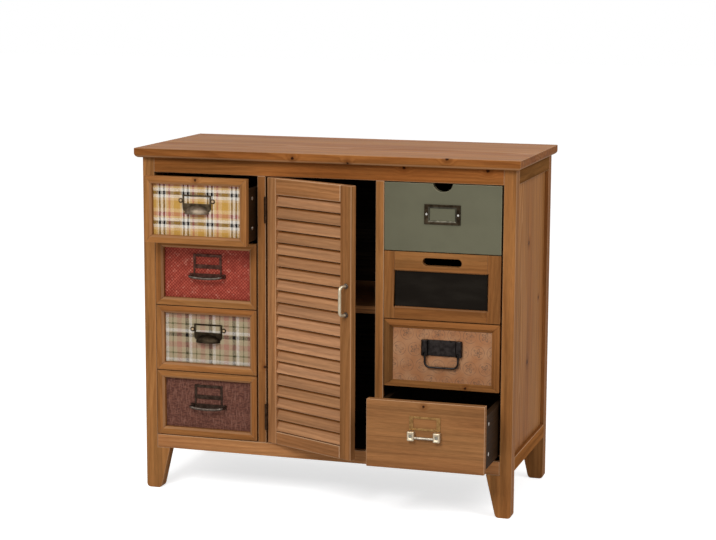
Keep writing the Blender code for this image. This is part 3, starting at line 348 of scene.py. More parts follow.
# A darker, redder tint over the whole rail: painted shade from the top's overhang.
overlay(board("front_top_rail", "X", 0.91, RAIL_KNOTS, gloss=0.0), 1.0, RAIL_OVERHANG_SHADE, "MULTIPLY")
for node in ("front_bottom_rail", "back_bottom_rail"):
    board(node, "X", 1.18, pale=0.25)
# The top rails' low tone of 0.57 is painted shade under the overhang of the top.
for level, tone in (("top", 0.57), ("bottom", 1.06)):
    for side in ("left", "right"):
        board(f"side_{level}_rail_{side}", "Y", tone, gloss=0.0)
board("side_panel_right", "Z", 1.08, PANEL_KNOTS)
board("side_panel_left", "Z", 1.08)


# Inside of the chest. Two pine partitions whose front edges show as stiles, a shelf, a floor panel
# and a thin back panel. Behind the front edges everything is brushed with a near-black stain that
# lets a trace of the grain through.
STAIN_DARK = (0.0065, 0.0040, 0.0030, 1)
STAIN_THIN = (0.0300, 0.0165, 0.0090, 1)
STAIN_STARTS = 0.012
STAIN_BLUR = 0.001
SHELF_BROWN = (0.330, 0.145, 0.052, 1)
SHELF_DEEP = (0.150, 0.062, 0.022, 1)
STILE_KNOT = (-0.1414, front_y, 0.3066, 0.0045)

tree, given, made = shader_group(
    "brushed_stain", {"Grain": "Vector", "Deep": "Color", "Thin": "Color"}, SURFACE)
brushed = noise(tree, given["Grain"], (9, 240, 240), 4.0)
patchy = fade(tree, noise(tree, given["Grain"], (5, 17, 17), 3.0), 0.3, 0.7, 0.4, 1)
worn = calc(tree, "MULTIPLY", fade(tree, brushed, 0.35, 0.75), patchy)
wire(tree, made, {"Color": mix(tree, worn, given["Deep"], given["Thin"]),
                  "Roughness": fade(tree, brushed, 0.2, 0.8, 0.45, 0.65), "Height": brushed})
stain_group = tree


def dark_stain(node, axis, deep=STAIN_DARK, thin=STAIN_THIN):
    """Near-black stain on a CAD node whose grain runs along an axis."""
    finish, tree, shader = new_finish(node)
    stain = use(tree, stain_group, Grain=grain_along(tree, coords(tree), axis), Deep=deep, Thin=thin)
    surface(tree, shader, *stain, 0.2, 0.0003, 0.05)
    dress(node, finish)


for node, tone, knots in (("partition_left", 0.81, [STILE_KNOT]), ("partition_right", 1.05, [])):
    finish = board(node, "Z", tone, knots)
    tree = finish.node_tree
    dark_from = front_y + STAIN_STARTS
    overlay(finish, fade(tree, split(tree, coords(tree))[1], dark_from - STAIN_BLUR, dark_from), STAIN_DARK)
dark_stain("back_panel", "X")
dark_stain("floor_panel", "X")
dark_stain("shelf", "X", SHELF_DEEP, SHELF_BROWN)


# Top. One pine board with its grain along the chest, overhanging the front and both ends, rounded
# under its edge with a moulding cutter and only just eased above. Its edge, every face not turned up,
# is darkened as painted shade.
TOP_ROUND = 0.010
TOP_EASE = 0.0015
TOP_KNOTS = [(0.2864, -0.1404, 0.7990, 0.0055), (0.060, -0.136, 0.783, 0.0048),
             (-0.068, -0.139, 0.7885, 0.0050)]
TOP_EDGE_SHADE = (0.67, 0.57, 0.46, 1)


def alone(piece):
    """Leaves one piece selected and active."""
    bpy.ops.object.select_all(action="DESELECT")
    piece.select_set(True)
    bpy.context.view_layer.objects.active = piece


def block(name, low, high):
    """A squared block between two corners."""
    low, high = Vector(low), Vector(high)
    return start_with(name, bpy.ops.mesh.primitive_cube_add, high - low, size=1, location=(low + high) / 2)


def pick_edges(piece, chosen):
    """Opens a piece in edit mode with only those edges selected whose two ends pass a test."""
    alone(piece)
    bpy.ops.object.mode_set(mode="EDIT")
    bpy.ops.mesh.select_mode(type="EDGE")
    bpy.ops.mesh.select_all(action="DESELECT")
    bpy.ops.object.mode_set(mode="OBJECT")
    for edge in piece.data.edges:
        edge.select = chosen([piece.data.vertices[i].co for i in edge.vertices])
    bpy.ops.object.mode_set(mode="EDIT")


def round_edges(piece, width, segments, chosen):
    """Rounds those edges of a piece whose two ends pass a test."""
    pick_edges(piece, chosen)
    bpy.ops.mesh.bevel(offset=width, segments=segments, affect="EDGES")
    bpy.ops.object.mode_set(mode="OBJECT")


def ease(piece, width, segments=2, sharper_than=40):
    """Rounds the sharp edges of a piece and smooths over the rounding only."""
    alone(piece)
    bpy.ops.object.shade_smooth_by_angle(angle=math.radians(35))
    arris = piece.modifiers.new("arris", "BEVEL")
    arris.width = width
    arris.segments = segments
    arris.limit_method = "ANGLE"
    arris.angle_limit = math.radians(sharper_than)
    arris.harden_normals = True
    bpy.ops.object.modifier_apply(modifier="arris")


def fit(piece, body, slot, *nodes):
    """Hangs a piece on its body and hides the CAD nodes it stands for. The slot is not used."""
    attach(piece, body)
    if nodes:
        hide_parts(*nodes)
    return piece


low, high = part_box("top_board")
middle = (low + high) / 2
top = block("top", low, high)
round_edges(top, TOP_ROUND, 8, lambda ends: all(end.z < middle.z for end in ends)
            and not all(end.y > middle.y for end in ends))
ease(top, TOP_EASE, 3)
finish = pine("top", low, high, "X", 1.23, TOP_KNOTS, rings=0.36)
tree = finish.node_tree
# Painted shade: faces that do not face up are darkened.
shaded_edge = fade(tree, split(tree, coords(tree, "Normal"))[2], 0.5, 0.95, 1.0, 0.0)
overlay(finish, shaded_edge, TOP_EDGE_SHADE, "MULTIPLY")
coat(finish, top)
fit(top, "carcass", "pine", "top_board")


# Drawer boxes. Dark-stained boxes that slide on ledges under their sides. Each side is screwed to the
# box's inner front with two bright screws.
BOX_STAIN = (0.0160, 0.0080, 0.0036, 1)
BOX_STAIN_THIN = (0.0420, 0.0210, 0.0100, 1)
SCREW_RADIUS = 0.0042
SCREW_HEAD = 0.0010
SCREW_CROSS = (1.5, 0.22)
SCREW_FROM_FRONT = 0.026
SCREW_FROM_BOTTOM = 0.030
SCREW_FROM_TOP = 0.022
STEEL = ((0.72, 0.70, 0.66, 1), (0.34, 0.32, 0.29, 1))
FACING_FRONT = Matrix.Rotation(math.pi / 2, 4, "X")
FACING_RIGHT = Matrix.Rotation(math.pi / 2, 4, "Y")
FACING_LEFT = Matrix.Rotation(-math.pi / 2, 4, "Y")

tree, given, made = shader_group(
    "worn_metal", {"Place": "Vector", "Bright": "Color", "Dull": "Color", "Polish": "Float"}, SURFACE)
tarnish = noise(tree, given["Place"], 110)
speckle = noise(tree, given["Place"], 1500)
share = fade(tree, tarnish, 0.28, 0.72)
rough = calc(tree, "MULTIPLY_ADD", share, 0.16, given["Polish"])
wire(tree, made, {"Color": mix(tree, share, given["Bright"], given["Dull"]),
                  "Roughness": calc(tree, "MULTIPLY_ADD", speckle, 0.12, rough),
                  "Height": calc(tree, "MULTIPLY_ADD", tarnish, 2.0, speckle)})
metal_group = tree


def worn_metal(name, bright, dull, polish):
    """Bare or plated metal, brighter and duller in patches of tarnish, with a fine uneven surface."""
    finish, tree, shader = new_finish(name)
    metal = use(tree, metal_group, Place=coords(tree), Bright=bright, Dull=dull, Polish=polish)
    surface(tree, shader, *metal, 0.1, 0.0003, 0.5)
    shader["Metallic"].default_value = 1.0
    return finish


def copy_of(model, name, carry):
    """A copy of a piece with its own mesh, carried to its place."""
    piece = model.copy()
    piece.data = model.data.copy()
    piece.name = piece.data.name = name
    scene.collection.objects.link(piece)
    piece.data.transform(carry)
    return piece


def apply_cut(piece, cutter, operation="DIFFERENCE"):
    """Cuts one shape out of another, or joins it on, and clears it away."""
    hollow = piece.modifiers.new("hollow", "BOOLEAN")
    hollow.operation = operation
    hollow.object = cutter
    alone(piece)
    bpy.ops.object.modifier_apply(modifier="hollow")
    bpy.data.objects.remove(cutter)


screw_model = start_with("screw", bpy.ops.mesh.primitive_cylinder_add, vertices=24, radius=SCREW_RADIUS,
                         depth=SCREW_HEAD)
ease(screw_model, 0.0004)
cross_middle = Vector((0, 0, SCREW_HEAD * 1.1))
for width, length in (SCREW_CROSS, SCREW_CROSS[::-1]):
    half = Vector((width * SCREW_RADIUS / 2, length * SCREW_RADIUS / 2, SCREW_HEAD))
    apply_cut(screw_model, block("cross", cross_middle - half, cross_middle + half))
coat(worn_metal("screw_steel", *STEEL, 0.25), screw_model)
for number in range(1, 9):
    node = f"drawer_{number}_box"
    low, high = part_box(node)
    dark_stain(node, "Y", BOX_STAIN, BOX_STAIN_THIN)
    for side, x, turn in (("left", low.x, FACING_LEFT), ("right", high.x, FACING_RIGHT)):
        for level, z in (("lower", low.z + SCREW_FROM_BOTTOM), ("upper", high.z - SCREW_FROM_TOP)):
            place = Matrix.Translation((x, low.y + SCREW_FROM_FRONT, z)) @ turn
            screw = copy_of(screw_model, f"drawer_{number}_{side}_{level}_screw", place)
            fit(screw, f"drawer_{number}", "bright_nickel")


# Framed drawer fronts. Drawers 1 to 4 and 7 have pine frames of four bars, mitred at the corners,
# with a slope running in towards the insert and a rebate behind it. Round the cloth inserts a straight
# wall follows the slope. Each frame is sawn from two boards, and its bars differ in stain; on drawer 7
# the difference is painted light and shade, the upright bars darkened and the right and top bars
# lightened.
FRAME_FLAT = 0.0125
CLOTH_SLOPE = (0.005, 0.005)
PRINT_SLOPE = (0.007, 0.010)
PRINT_FRAME_FLAT = 0.006
FRAME_EASE = 0.0009
REBATE_PLAY = 0.0003
REBATE_THROUGH = 0.02
# Drawer 7's bar tones are painted light and shade: upright bars dark, right and top bars lighter.
FRAME_LOOKS = {1: (1.0, 0.98, 0.15), 2: (0.98, 0.92, 0.2), 3: (1.0, 0.92, 0.2), 4: (0.95, 0.95, 0.2),
               7: (0.78, 0.46, 0.0)}
BAR_LIGHT_AND_SHADE_TONES = {(7, "right"): 0.95, (7, "top"): 1.0}
FRAME_KNOTS = {1: [(-0.2832, -0.1824, 0.7365, 0.0042)], 7: [(0.3283, -0.1193, 0.2895, 0.004)]}


def saw(piece, cuts, close=True):
    """Saws a piece along planes, each a point and a normal, and drops what lies beyond."""
    alone(piece)
    bpy.ops.object.mode_set(mode="EDIT")
    for point, normal in cuts:
        bpy.ops.mesh.select_all(action="SELECT")
        bpy.ops.mesh.bisect(plane_co=point, plane_no=Vector(normal).normalized(), use_fill=close,
                            clear_outer=True)
    bpy.ops.object.mode_set(mode="OBJECT")


def mitred_bar(low, high, inward, flat, slope, neighbours):
    """One bar of a frame along one edge of the front between two corners. Inward points to the middle
    of the front, the slope is its width and depth, and the ends are sawn from the outer corner to the
    inner one, where the neighbours meet it."""
    across = 2 if inward.z else 0
    along = 2 - across
    way = inward[across]
    outer = low[across] if way > 0 else high[across]
    width = flat + slope[0]
    bar_low, bar_high = low.copy(), high.copy()
    bar_low[across], bar_high[across] = sorted((outer, outer + way * width))
    edge = Vector((0, low.y, 0))
    edge[across] = outer + way * flat
    cuts = [(edge, inward * slope[1] + Vector((0, -slope[0], 0)))]
    for end, neighbour, outwards in ((low, neighbours[0], -1), (high, neighbours[1], 1)):
        corner = Vector((0, low.y, 0))
        corner[across] = outer
        corner[along] = end[along]
        normal = inward * neighbour
        normal[along] = outwards * width
        cuts.append((corner, normal))
    bar = block("bar", bar_low, bar_high)
    saw(bar, cuts)
    return bar


def cut_rebate(bar, number):
    """Cuts the seat of a drawer's insert into the back of a bar."""
    low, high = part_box(f"drawer_{number}_insert")
    play = Vector((REBATE_PLAY,) * 3)
    apply_cut(bar, block("rebate", low - play, high + Vector((REBATE_PLAY, REBATE_THROUGH, REBATE_PLAY))))


def retoned(finish, name, tone):
    """The same pine with its tone deeper or lighter, here painting light and shade on single bars."""
    other = finish.copy()
    other.name = name
    for node in other.node_tree.nodes:
        if node.type == "GROUP" and node.node_tree == pine_group:
            node.inputs["Tone"].default_value = tone
    return other


def as_one(name, shapes):
    """Joins the shapes of one piece."""
    alone(shapes[0])
    for shape in shapes:
        shape.select_set(True)
    bpy.ops.object.join()
    shapes[0].name = shapes[0].data.name = name
    return shapes[0]


for number, (lying_tone, standing_tone, rubbed) in FRAME_LOOKS.items():
    low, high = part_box(f"drawer_{number}_front")
    slope, bottom_flat = (PRINT_SLOPE, PRINT_FRAME_FLAT) if number == 7 else (CLOTH_SLOPE, FRAME_FLAT)
    side_width, bottom_width = FRAME_FLAT + slope[0], bottom_flat + slope[0]
    name = f"drawer_{number}_frame"
    lying = pine(f"{name}_lying", low, high, "X", lying_tone, FRAME_KNOTS.get(number, ()), rubbed=rubbed)
    standing = pine(f"{name}_standing", low, high, "Z", standing_tone, rubbed=rubbed)
    bars = []
    for edge, inward, flat, neighbours, finish in (
            ("top", (0, 0, -1), FRAME_FLAT, (side_width, side_width), lying),
            ("bottom", (0, 0, 1), bottom_flat, (side_width, side_width), lying),
            ("left", (1, 0, 0), FRAME_FLAT, (bottom_width, side_width), standing),
            ("right", (-1, 0, 0), FRAME_FLAT, (bottom_width, side_width), standing)):
        bars.append(mitred_bar(low, high, Vector(inward), flat, slope, neighbours))
        cut_rebate(bars[-1], number)
        ease(bars[-1], FRAME_EASE)
        if (number, edge) in BAR_LIGHT_AND_SHADE_TONES:
            finish = retoned(finish, f"{name}_{edge}", BAR_LIGHT_AND_SHADE_TONES[number, edge])
        coat(finish, bars[-1])
    fit(as_one(name, bars), f"drawer_{number}", "pine", f"drawer_{number}_front")


# Painted front of drawer 5. A solid slab in sage-green satin paint, brushed on, with a half-round
# notch cut into its upper edge for a finger. Along the arrises the paint is worn thin and paler, partly
# wear and partly a painted highlight.
SAGE = (0.112, 0.107, 0.066, 1)
SAGE_DEEP = (0.104, 0.099, 0.061, 1)
SAGE_ARRIS_WEAR_AND_HIGHLIGHT = (0.290, 0.255, 0.165, 1)
NOTCH_WIDTH = 0.044
NOTCH_DEPTH = 0.018
PAINTED_EASE = 0.0016
THROUGH = 0.1

low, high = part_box("drawer_5_front")
middle = (low + high) / 2
painted = block("drawer_5_painted_front", low, high)
notch = start_with("notch", bpy.ops.mesh.primitive_cylinder_add, (NOTCH_WIDTH / 2, NOTCH_DEPTH, 1),
                   vertices=96, radius=1, depth=THROUGH, location=(middle.x, middle.y, high.z),
                   rotation=(math.pi / 2, 0, 0))
apply_cut(painted, notch)
ease(painted, PAINTED_EASE, 3)
finish, tree, shader = new_finish("sage_paint")
place = coords(tree)
brush = noise(tree, place, (14, 300, 420), 3.0)
rub = use(tree, arris_wear_and_highlight_group, Normal=coords(tree, "Normal"), Share=1.0)[0]
# Paler paint at the arrises: partly wear, partly a painted highlight.
worn = calc(tree, "MULTIPLY", rub, fade(tree, brush, 0.3, 0.6, 0.25, 0.9))
color = mix(tree, fade(tree, noise(tree, place, 22), 0.3, 0.7), SAGE, SAGE_DEEP)
surface(tree, shader, mix(tree, worn, color, SAGE_ARRIS_WEAR_AND_HIGHLIGHT), fade(tree, brush, 0.2, 0.8, 0.36, 0.50), brush,
        0.25, 0.0003, 0.2)
coat(finish, painted)
fit(painted, "drawer_5", "sage_paint", "drawer_5_front")


# Front of drawer 6. Two stiles with a deep upper rail and a lower rail between them, round a
# chalkboard. A finger slot with rounded ends is cut through the upper rail.
BOARD_LEFT = 0.021
BOARD_RIGHT = 0.027
BOARD_TOP = 0.041
BOARD_BOTTOM = 0.025
BOARD_CHAMFER = 0.003
BOARD_DEPTH = 0.006
SLOT_WIDTH = 0.089
SLOT_HEIGHT = 0.018
SLOT_FROM_TOP = 0.021
BOARD_KNOTS = [(0.380, -0.1193, 0.4555, 0.0045)]


def runs_along(ends, axis):
    """Whether an edge between two ends runs along an axis, 0 to 2, and not only across it."""
    return abs(ends[0][axis] - ends[1][axis]) > 0.001


def sloped_window(low, high, depth, slope):
    """A cutter for a window between two corners, of full size at a depth behind the face and wider by
    the slope at the face, which is at the lower corner."""
    cutter = block("window", (low.x, low.y - depth, low.z), (high.x, low.y + depth, high.z))
    for vertex in cutter.data.vertices:
        if vertex.co.y < low.y:
            vertex.co.x += 2 * slope * (1 if vertex.co.x > (low.x + high.x) / 2 else -1)
            vertex.co.z += 2 * slope * (1 if vertex.co.z > (low.z + high.z) / 2 else -1)
    return cutter


low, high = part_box("drawer_6_front")
lying = pine("drawer_6_rails", low, high, "X", 0.76, BOARD_KNOTS, rubbed=0.12)
standing = pine("drawer_6_stiles", low, high, "Z", 0.78, rubbed=0.12)
left_x, right_x = low.x + BOARD_LEFT + BOARD_CHAMFER, high.x - BOARD_RIGHT - BOARD_CHAMFER
low_z, high_z = low.z + BOARD_BOTTOM + BOARD_CHAMFER, high.z - BOARD_TOP - BOARD_CHAMFER
window_low, window_high = Vector((left_x, low.y, low_z)), Vector((right_x, high.y, high_z))
bars = []
for bar_low, bar_high, finish in ((low, (left_x, high.y, high.z), standing),
                                  ((right_x, low.y, low.z), high, standing),
                                  ((left_x, low.y, low.z), (right_x, high.y, low_z), lying),
                                  ((left_x, low.y, high_z), (right_x, high.y, high.z), lying)):
    bars.append(block("bar", bar_low, bar_high))
    cut_rebate(bars[-1], 6)
    apply_cut(bars[-1], sloped_window(window_low, window_high, BOARD_DEPTH, BOARD_CHAMFER))
    coat(finish, bars[-1])
slot_middle = Vector(((low.x + high.x) / 2, (low.y + high.y) / 2, high.z - SLOT_FROM_TOP))
half = Vector((SLOT_WIDTH / 2, REBATE_THROUGH, SLOT_HEIGHT / 2))
slot = block("slot", slot_middle - half, slot_middle + half)
round_edges(slot, SLOT_HEIGHT * 0.49, 10, lambda ends: runs_along(ends, 1))
apply_cut(bars[-1], slot)
for bar in bars:
    ease(bar, FRAME_EASE)
fit(as_one("drawer_6_frame", bars), "drawer_6", "pine", "drawer_6_front")


# Front of drawer 8. One plain pine slab with its grain lying and soft arrises, eased by hand. It is
# screwed to its box from inside.
SLAB_EASE = 0.002
SLAB_KNOTS = [(0.2691, -0.2513, 0.2725, 0.0045)]

low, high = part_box("drawer_8_front")
slab = block("drawer_8_slab", low, high)
ease(slab, SLAB_EASE, 3)
coat(pine("drawer_8_slab", low, high, "X", 0.80, SLAB_KNOTS, pale=0.2, rings=0.12), slab)
fit(slab, "drawer_8", "pine", "drawer_8_front")


# Plaid inserts of drawers 1 and 3. Thin boards covered in a soft twill, woven in stripes of several
# colours both ways, so that each crossing mixes the two.
CREAM = (0.600, 0.410, 0.215, 1)
WHITE = (0.700, 0.650, 0.570, 1)
MUSTARD = (0.480, 0.270, 0.060, 1)
INK = (0.010, 0.006, 0.006, 1)
ROSE = (0.420, 0.130, 0.100, 1)
BEIGE = (0.365, 0.290, 0.180, 1)
CHALK = (0.600, 0.555, 0.490, 1)
MOSS = (0.090, 0.085, 0.036, 1)
CHARCOAL = (0.010, 0.007, 0.006, 1)
DUSTY_ROSE = (0.330, 0.165, 0.115, 1)
TWILL = 0.0013
YARN_DRIFT = 0.0012


def striped(tree, at, repeat, ground, bands):
    """Bands of colour across one direction of a cloth, repeated: each is its middle, width and colour."""
    within = calc(tree, "FLOORED_MODULO", at, repeat)
    color = ground
    for middle, width, band in bands:
        color = mix(tree, calc(tree, "COMPARE", within, middle, width / 2), color, band)
    return color


def shifted(tree, node, shift=Vector()):
    """A place measured from the middle of a CAD node, and shifted."""
    low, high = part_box(node)
    sockets = {"Vector": coords(tree), "Location": shift - (low + high) / 2}
    return put(tree, "ShaderNodeMapping", sockets).outputs[0]


def plaid(name, node, ground, warp, warp_repeat, weft, weft_repeat):
    """Covers a CAD node in a twill with its own stripes upright and lying."""
    finish, tree, shader = new_finish(name)
    place = shifted(tree, node)
    drift = noise(tree, place, 60)
    x, _, z = split(tree, place)
    upright = striped(tree, calc(tree, "MULTIPLY_ADD", drift, YARN_DRIFT, x), warp_repeat, ground, warp)
    lying = striped(tree, calc(tree, "MULTIPLY_ADD", drift, YARN_DRIFT, z), weft_repeat, ground, weft)
    ridge = calc(tree, "PINGPONG", calc(tree, "ADD", x, z), TWILL / 2)
    color = mix(tree, fade(tree, ridge, TWILL * 0.2, TWILL * 0.3), upright, lying)
    yarn = noise(tree, place, 900)
    color = mix(tree, 1.0, color, fade(tree, yarn, 0.2, 0.8, 0.8, 1.15), "MULTIPLY")
    height = calc(tree, "MULTIPLY_ADD", yarn, 0.5, calc(tree, "DIVIDE", ridge, TWILL))
    surface(tree, shader, color, fade(tree, yarn, 0.2, 0.8, 0.82, 0.96), height, 0.5, 0.0004, 0.15)
    dress(node, finish)


plaid("mustard_plaid", "drawer_1_insert", CREAM,
      [(0.010, 0.015, MUSTARD), (0.032, 0.020, WHITE), (0.0265, 0.0046, INK), (0.0370, 0.0046, INK),
       (0.050, 0.0050, ROSE)], 0.058,
      [(0.012, 0.018, MUSTARD), (0.038, 0.022, WHITE), (0.038, 0.0080, INK), (0.058, 0.009, ROSE)], 0.068)
plaid("beige_plaid", "drawer_3_insert", BEIGE,
      [(0.006, 0.0080, CHARCOAL), (0.0150, 0.0070, CHALK), (0.0290, 0.0032, MOSS),
       (0.045, 0.0120, DUSTY_ROSE)], 0.058,
      [(0.007, 0.0085, CHARCOAL), (0.0170, 0.0075, CHALK), (0.0330, 0.0036, MOSS),
       (0.053, 0.0130, DUSTY_ROSE)], 0.069)


# Red insert of drawer 2. A board covered in coarse red cloth, woven on the diagonal from thick flat
# strands that pass over and under each other. Where the strands dip they are coloured darker, a
# painted shade in the hollows of the weave.
STRAND = 0.0078
STRAND_RISE = 0.0008
WEAVE_STEP = 0.0008
RED_HIGH = (0.440, 0.088, 0.055, 1)
RED_LOW = (0.190, 0.0215, 0.013, 1)
RED_BARE = (0.560, 0.200, 0.140, 1)

low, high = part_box("drawer_2_insert")
middle = (low + high) / 2
size = high - low
woven = block("drawer_2_woven_cloth", low, high)
for vertex in woven.data.vertices:
    if vertex.co.y < middle.y:
        vertex.co.y = low.y + STRAND_RISE * 1.2
cloth = start_with("cloth", bpy.ops.mesh.primitive_grid_add, (size.x, size.z, 1), size=1,
                   x_subdivisions=int(size.x / WEAVE_STEP), y_subdivisions=int(size.z / WEAVE_STEP),
                   location=(middle.x, low.y + STRAND_RISE, middle.z), rotation=(math.pi / 2, 0, 0))
relief = cloth.data.attributes.new("relief", "FLOAT", "POINT")
for i, vertex in enumerate(cloth.data.vertices):
    u, v = (vertex.co.x + vertex.co.z) / STRAND, (vertex.co.x - vertex.co.z) / STRAND
    over, under = (v, u) if (math.floor(u) + math.floor(v)) % 2 == 0 else (u, v)
    rise = math.sin(math.pi * (over % 1)) ** 0.7 * (0.55 + 0.45 * math.sin(math.pi * (under % 1)))
    relief.data[i].value = rise
    vertex.co.y -= rise * STRAND_RISE
bpy.ops.object.shade_smooth()
as_one("drawer_2_woven_cloth", [woven, cloth])
finish, tree, shader = new_finish("red_weave")
place = coords(tree)
raised = put(tree, "ShaderNodeAttribute", attribute_name="relief").outputs["Fac"]
yarn = noise(tree, place, 700, 3.0)
faded = fade(tree, noise(tree, place, 75, 3.0), 0.3, 0.7, 0.45, 1.0)
# Darker where the strands dip and in faded patches; the dip is painted shade.
share = calc(tree, "MULTIPLY", fade(tree, raised, 0.15, 1.0), faded)
bare = calc(tree, "MULTIPLY", fade(tree, noise(tree, place, 120), 0.56, 0.70), share)
color = mix(tree, bare, mix(tree, share, RED_LOW, RED_HIGH), RED_BARE)
color = mix(tree, 1.0, color, fade(tree, yarn, 0.2, 0.8, 0.75, 1.2), "MULTIPLY")
surface(tree, shader, color, fade(tree, yarn, 0.2, 0.8, 0.6, 0.8), yarn, 0.4, 0.0003, 0.12)
coat(finish, woven)
fit(woven, "drawer_2", "red_woven_cloth", "drawer_2_insert")


# Tweed insert of drawer 4. A board covered in a close maroon-brown tweed with lighter flecks in the
# yarn.
TWEED = (0.165, 0.066, 0.044, 1)
TWEED_DARK = (0.082, 0.030, 0.021, 1)
TWEED_FLECK = (0.235, 0.110, 0.078, 1)

finish, tree, shader = new_finish("maroon_tweed")
place = coords(tree)
lying = noise(tree, place, (150, 500, 520))
upright = noise(tree, place, (520, 500, 150))
color = mix(tree, fade(tree, lying, 0.35, 0.65), TWEED_DARK, TWEED)
color = mix(tree, fade(tree, upright, 0.45, 0.7, 0.0, 0.7), color, TWEED_DARK)
color = mix(tree, fade(tree, noise(tree, place, (330, 190, 46)), 0.50, 0.68, 0.0, 0.6), color, TWEED_FLECK)
surface(tree, shader, color, fade(tree, lying, 0.2, 0.8, 0.85, 0.97), calc(tree, "ADD", lying, upright),
        0.6, 0.0006, 0.15)
dress("drawer_4_insert", finish)


# Chalkboard of drawer 6. A hardboard panel in flat black paint with a faint film of wiped chalk. It
# lies in the rebate behind the frame.
SLATE = (0.0075, 0.0054, 0.0036, 1)
CHALK_FILM = (0.0125, 0.0098, 0.0070, 1)

finish, tree, shader = new_finish("chalkboard")
place = coords(tree)
wiped = fade(tree, noise(tree, place, (12, 30, 42), 4.0), 0.40, 0.75)
grit = noise(tree, place, 1400)
surface(tree, shader, mix(tree, wiped, SLATE, CHALK_FILM), fade(tree, grit, 0.2, 0.8, 0.58, 0.80), grit,
        0.25, 0.0002, 0.05)
dress("drawer_6_insert", finish)


# Printed insert of drawer 7. Tan paper on a board, printed in grey-brown ink with a loose repeat of
# rosettes and rings, and varnished.
PAPER_TAN = (0.350, 0.152, 0.066, 1)
PAPER_PALE = (0.400, 0.205, 0.102, 1)
PRINT_INK = (0.120, 0.076, 0.052, 1)
REPEAT = 0.036
PRINT_SHIFT = Vector((0.009, 0, 0.006))
PETAL_REACH = 0.0028
PETAL_MIDDLE = 0.0092
PRINT_RING = 0.0150
RING_LINE = 0.0006
HEART = 0.0026

finish, tree, shader = new_finish("printed_paper")
place = shifted(tree, "drawer_7_insert", PRINT_SHIFT)
x, _, z = split(tree, place)
row = calc(tree, "FLOOR", calc(tree, "DIVIDE", z, REPEAT))
x = calc(tree, "MULTIPLY_ADD", row, REPEAT * 0.5, x)
x, z = [calc(tree, "SUBTRACT", calc(tree, "FLOORED_MODULO", at, REPEAT), REPEAT / 2) for at in (x, z)]
away = calc(tree, "SQRT", calc(tree, "MULTIPLY_ADD", x, x, calc(tree, "MULTIPLY", z, z)))
petals = calc(tree, "COSINE", calc(tree, "MULTIPLY", calc(tree, "ARCTAN2", z, x), 5.0))
beyond = calc(tree, "SUBTRACT", away, calc(tree, "MULTIPLY_ADD", petals, PETAL_REACH, PETAL_MIDDLE))
petal = fade(tree, beyond, -0.0014, 0.0, 1.0, 0.0)
vein = fade(tree, beyond, -0.0040, -0.0026, 1.0, 0.0)
outline = calc(tree, "SUBTRACT", petal, calc(tree, "MULTIPLY", vein, 0.75))
ink = calc(tree, "MAXIMUM", outline, calc(tree, "COMPARE", away, PRINT_RING, RING_LINE))
ink = calc(tree, "MAXIMUM", ink, calc(tree, "LESS_THAN", away, HEART))
ink = calc(tree, "MULTIPLY", ink, fade(tree, noise(tree, place, 90, 4.0), 0.35, 0.62, 0.20, 0.75))
fibre = noise(tree, place, 1000)
color = mix(tree, fade(tree, noise(tree, place, 28, 3.0), 0.35, 0.7), PAPER_TAN, PAPER_PALE)
color = mix(tree, ink, color, PRINT_INK)
color = mix(tree, 1.0, color, fade(tree, fibre, 0.2, 0.8, 0.9, 1.1), "MULTIPLY")
surface(tree, shader, color, fade(tree, fibre, 0.2, 0.8, 0.42, 0.58), fibre, 0.15, 0.0002, 0.12)
dress("drawer_7_insert", finish)


# Cup pulls of drawers 1 and 3. A thin cast frame for a paper label with a screw ear at each end, and
# below it an apron with a hollow cup for the finger tips, its rim turned out. Bronze, dark with age and
# held by brass screws; the pull of drawer 1 is worn paler, and its cup is a lighter grey, partly wear
# and partly a painted reflection of the bright surround.
BRONZE = ((0.046, 0.033, 0.020, 1), (0.018, 0.012, 0.007, 1))
WORN_BRONZE = ((0.105, 0.076, 0.046, 1), (0.044, 0.030, 0.017, 1))
EAR_BRASS = ((0.560, 0.410, 0.250, 1), (0.400, 0.280, 0.165, 1))
GREY_BRONZE = ((0.230, 0.180, 0.130, 1), (0.120, 0.090, 0.062, 1))
PULL_PLATE = 0.002
PULL_EASE = 0.0006
THIN_EASE = 0.0004
CUP_CARD = (0.069, 0.027)
CUP_BORDERS = (0.0040, 0.0034, 0.0075)
CUP_APRON = (0.0115, 0.0012)
CUP_APRON_ROUND = 0.0095
CUP_EAR = 0.0055
CUP_EAR_PLATE = 0.0016
CUP_EAR_EASE = 0.0005
CUP_WIDTH = 0.058
CUP_REACH = 0.0185
CUP_HEIGHT = 0.0165
CUP_WALL = 0.0015
CUP_LIP = 0.0009
CUP_FLARE = (1.035, 1.04, 1.0)
CUP_SEAT = 0.0002
EAR_SCREW = 0.68
CUT_SPARE = 0.01

bronze = worn_metal("antique_bronze", *BRONZE, 0.30)
worn_bronze = worn_metal("worn_bronze", *WORN_BRONZE, 0.34)
ear_brass = worn_metal("ear_screw_brass", *EAR_BRASS, 0.34)
# The lighter grey of drawer 1's cup: partly wear, partly a painted reflection.
grey_bronze = worn_metal("rubbed_bronze", *GREY_BRONZE, 0.44)


def card_frame(low, high, borders):
    """A flat frame for a paper label between two corners; borders are its sides, top and bottom."""
    side, top, bottom = borders
    plate = block("card_frame", low, high)
    apply_cut(plate, block("window", (low.x + side, low.y - CUT_SPARE, low.z + bottom),
                           (high.x - side, high.y + CUT_SPARE, high.z - top)))
    return plate


def boss(back_end, radius, length, easing):
    """A round boss standing out towards the front from the middle of its back end."""
    shape = start_with("boss", bpy.ops.mesh.primitive_cylinder_add, vertices=32, radius=radius, depth=length,
                       location=Vector(back_end) - Vector((0, length / 2, 0)), rotation=(math.pi / 2, 0, 0))
    ease(shape, easing)
    return shape


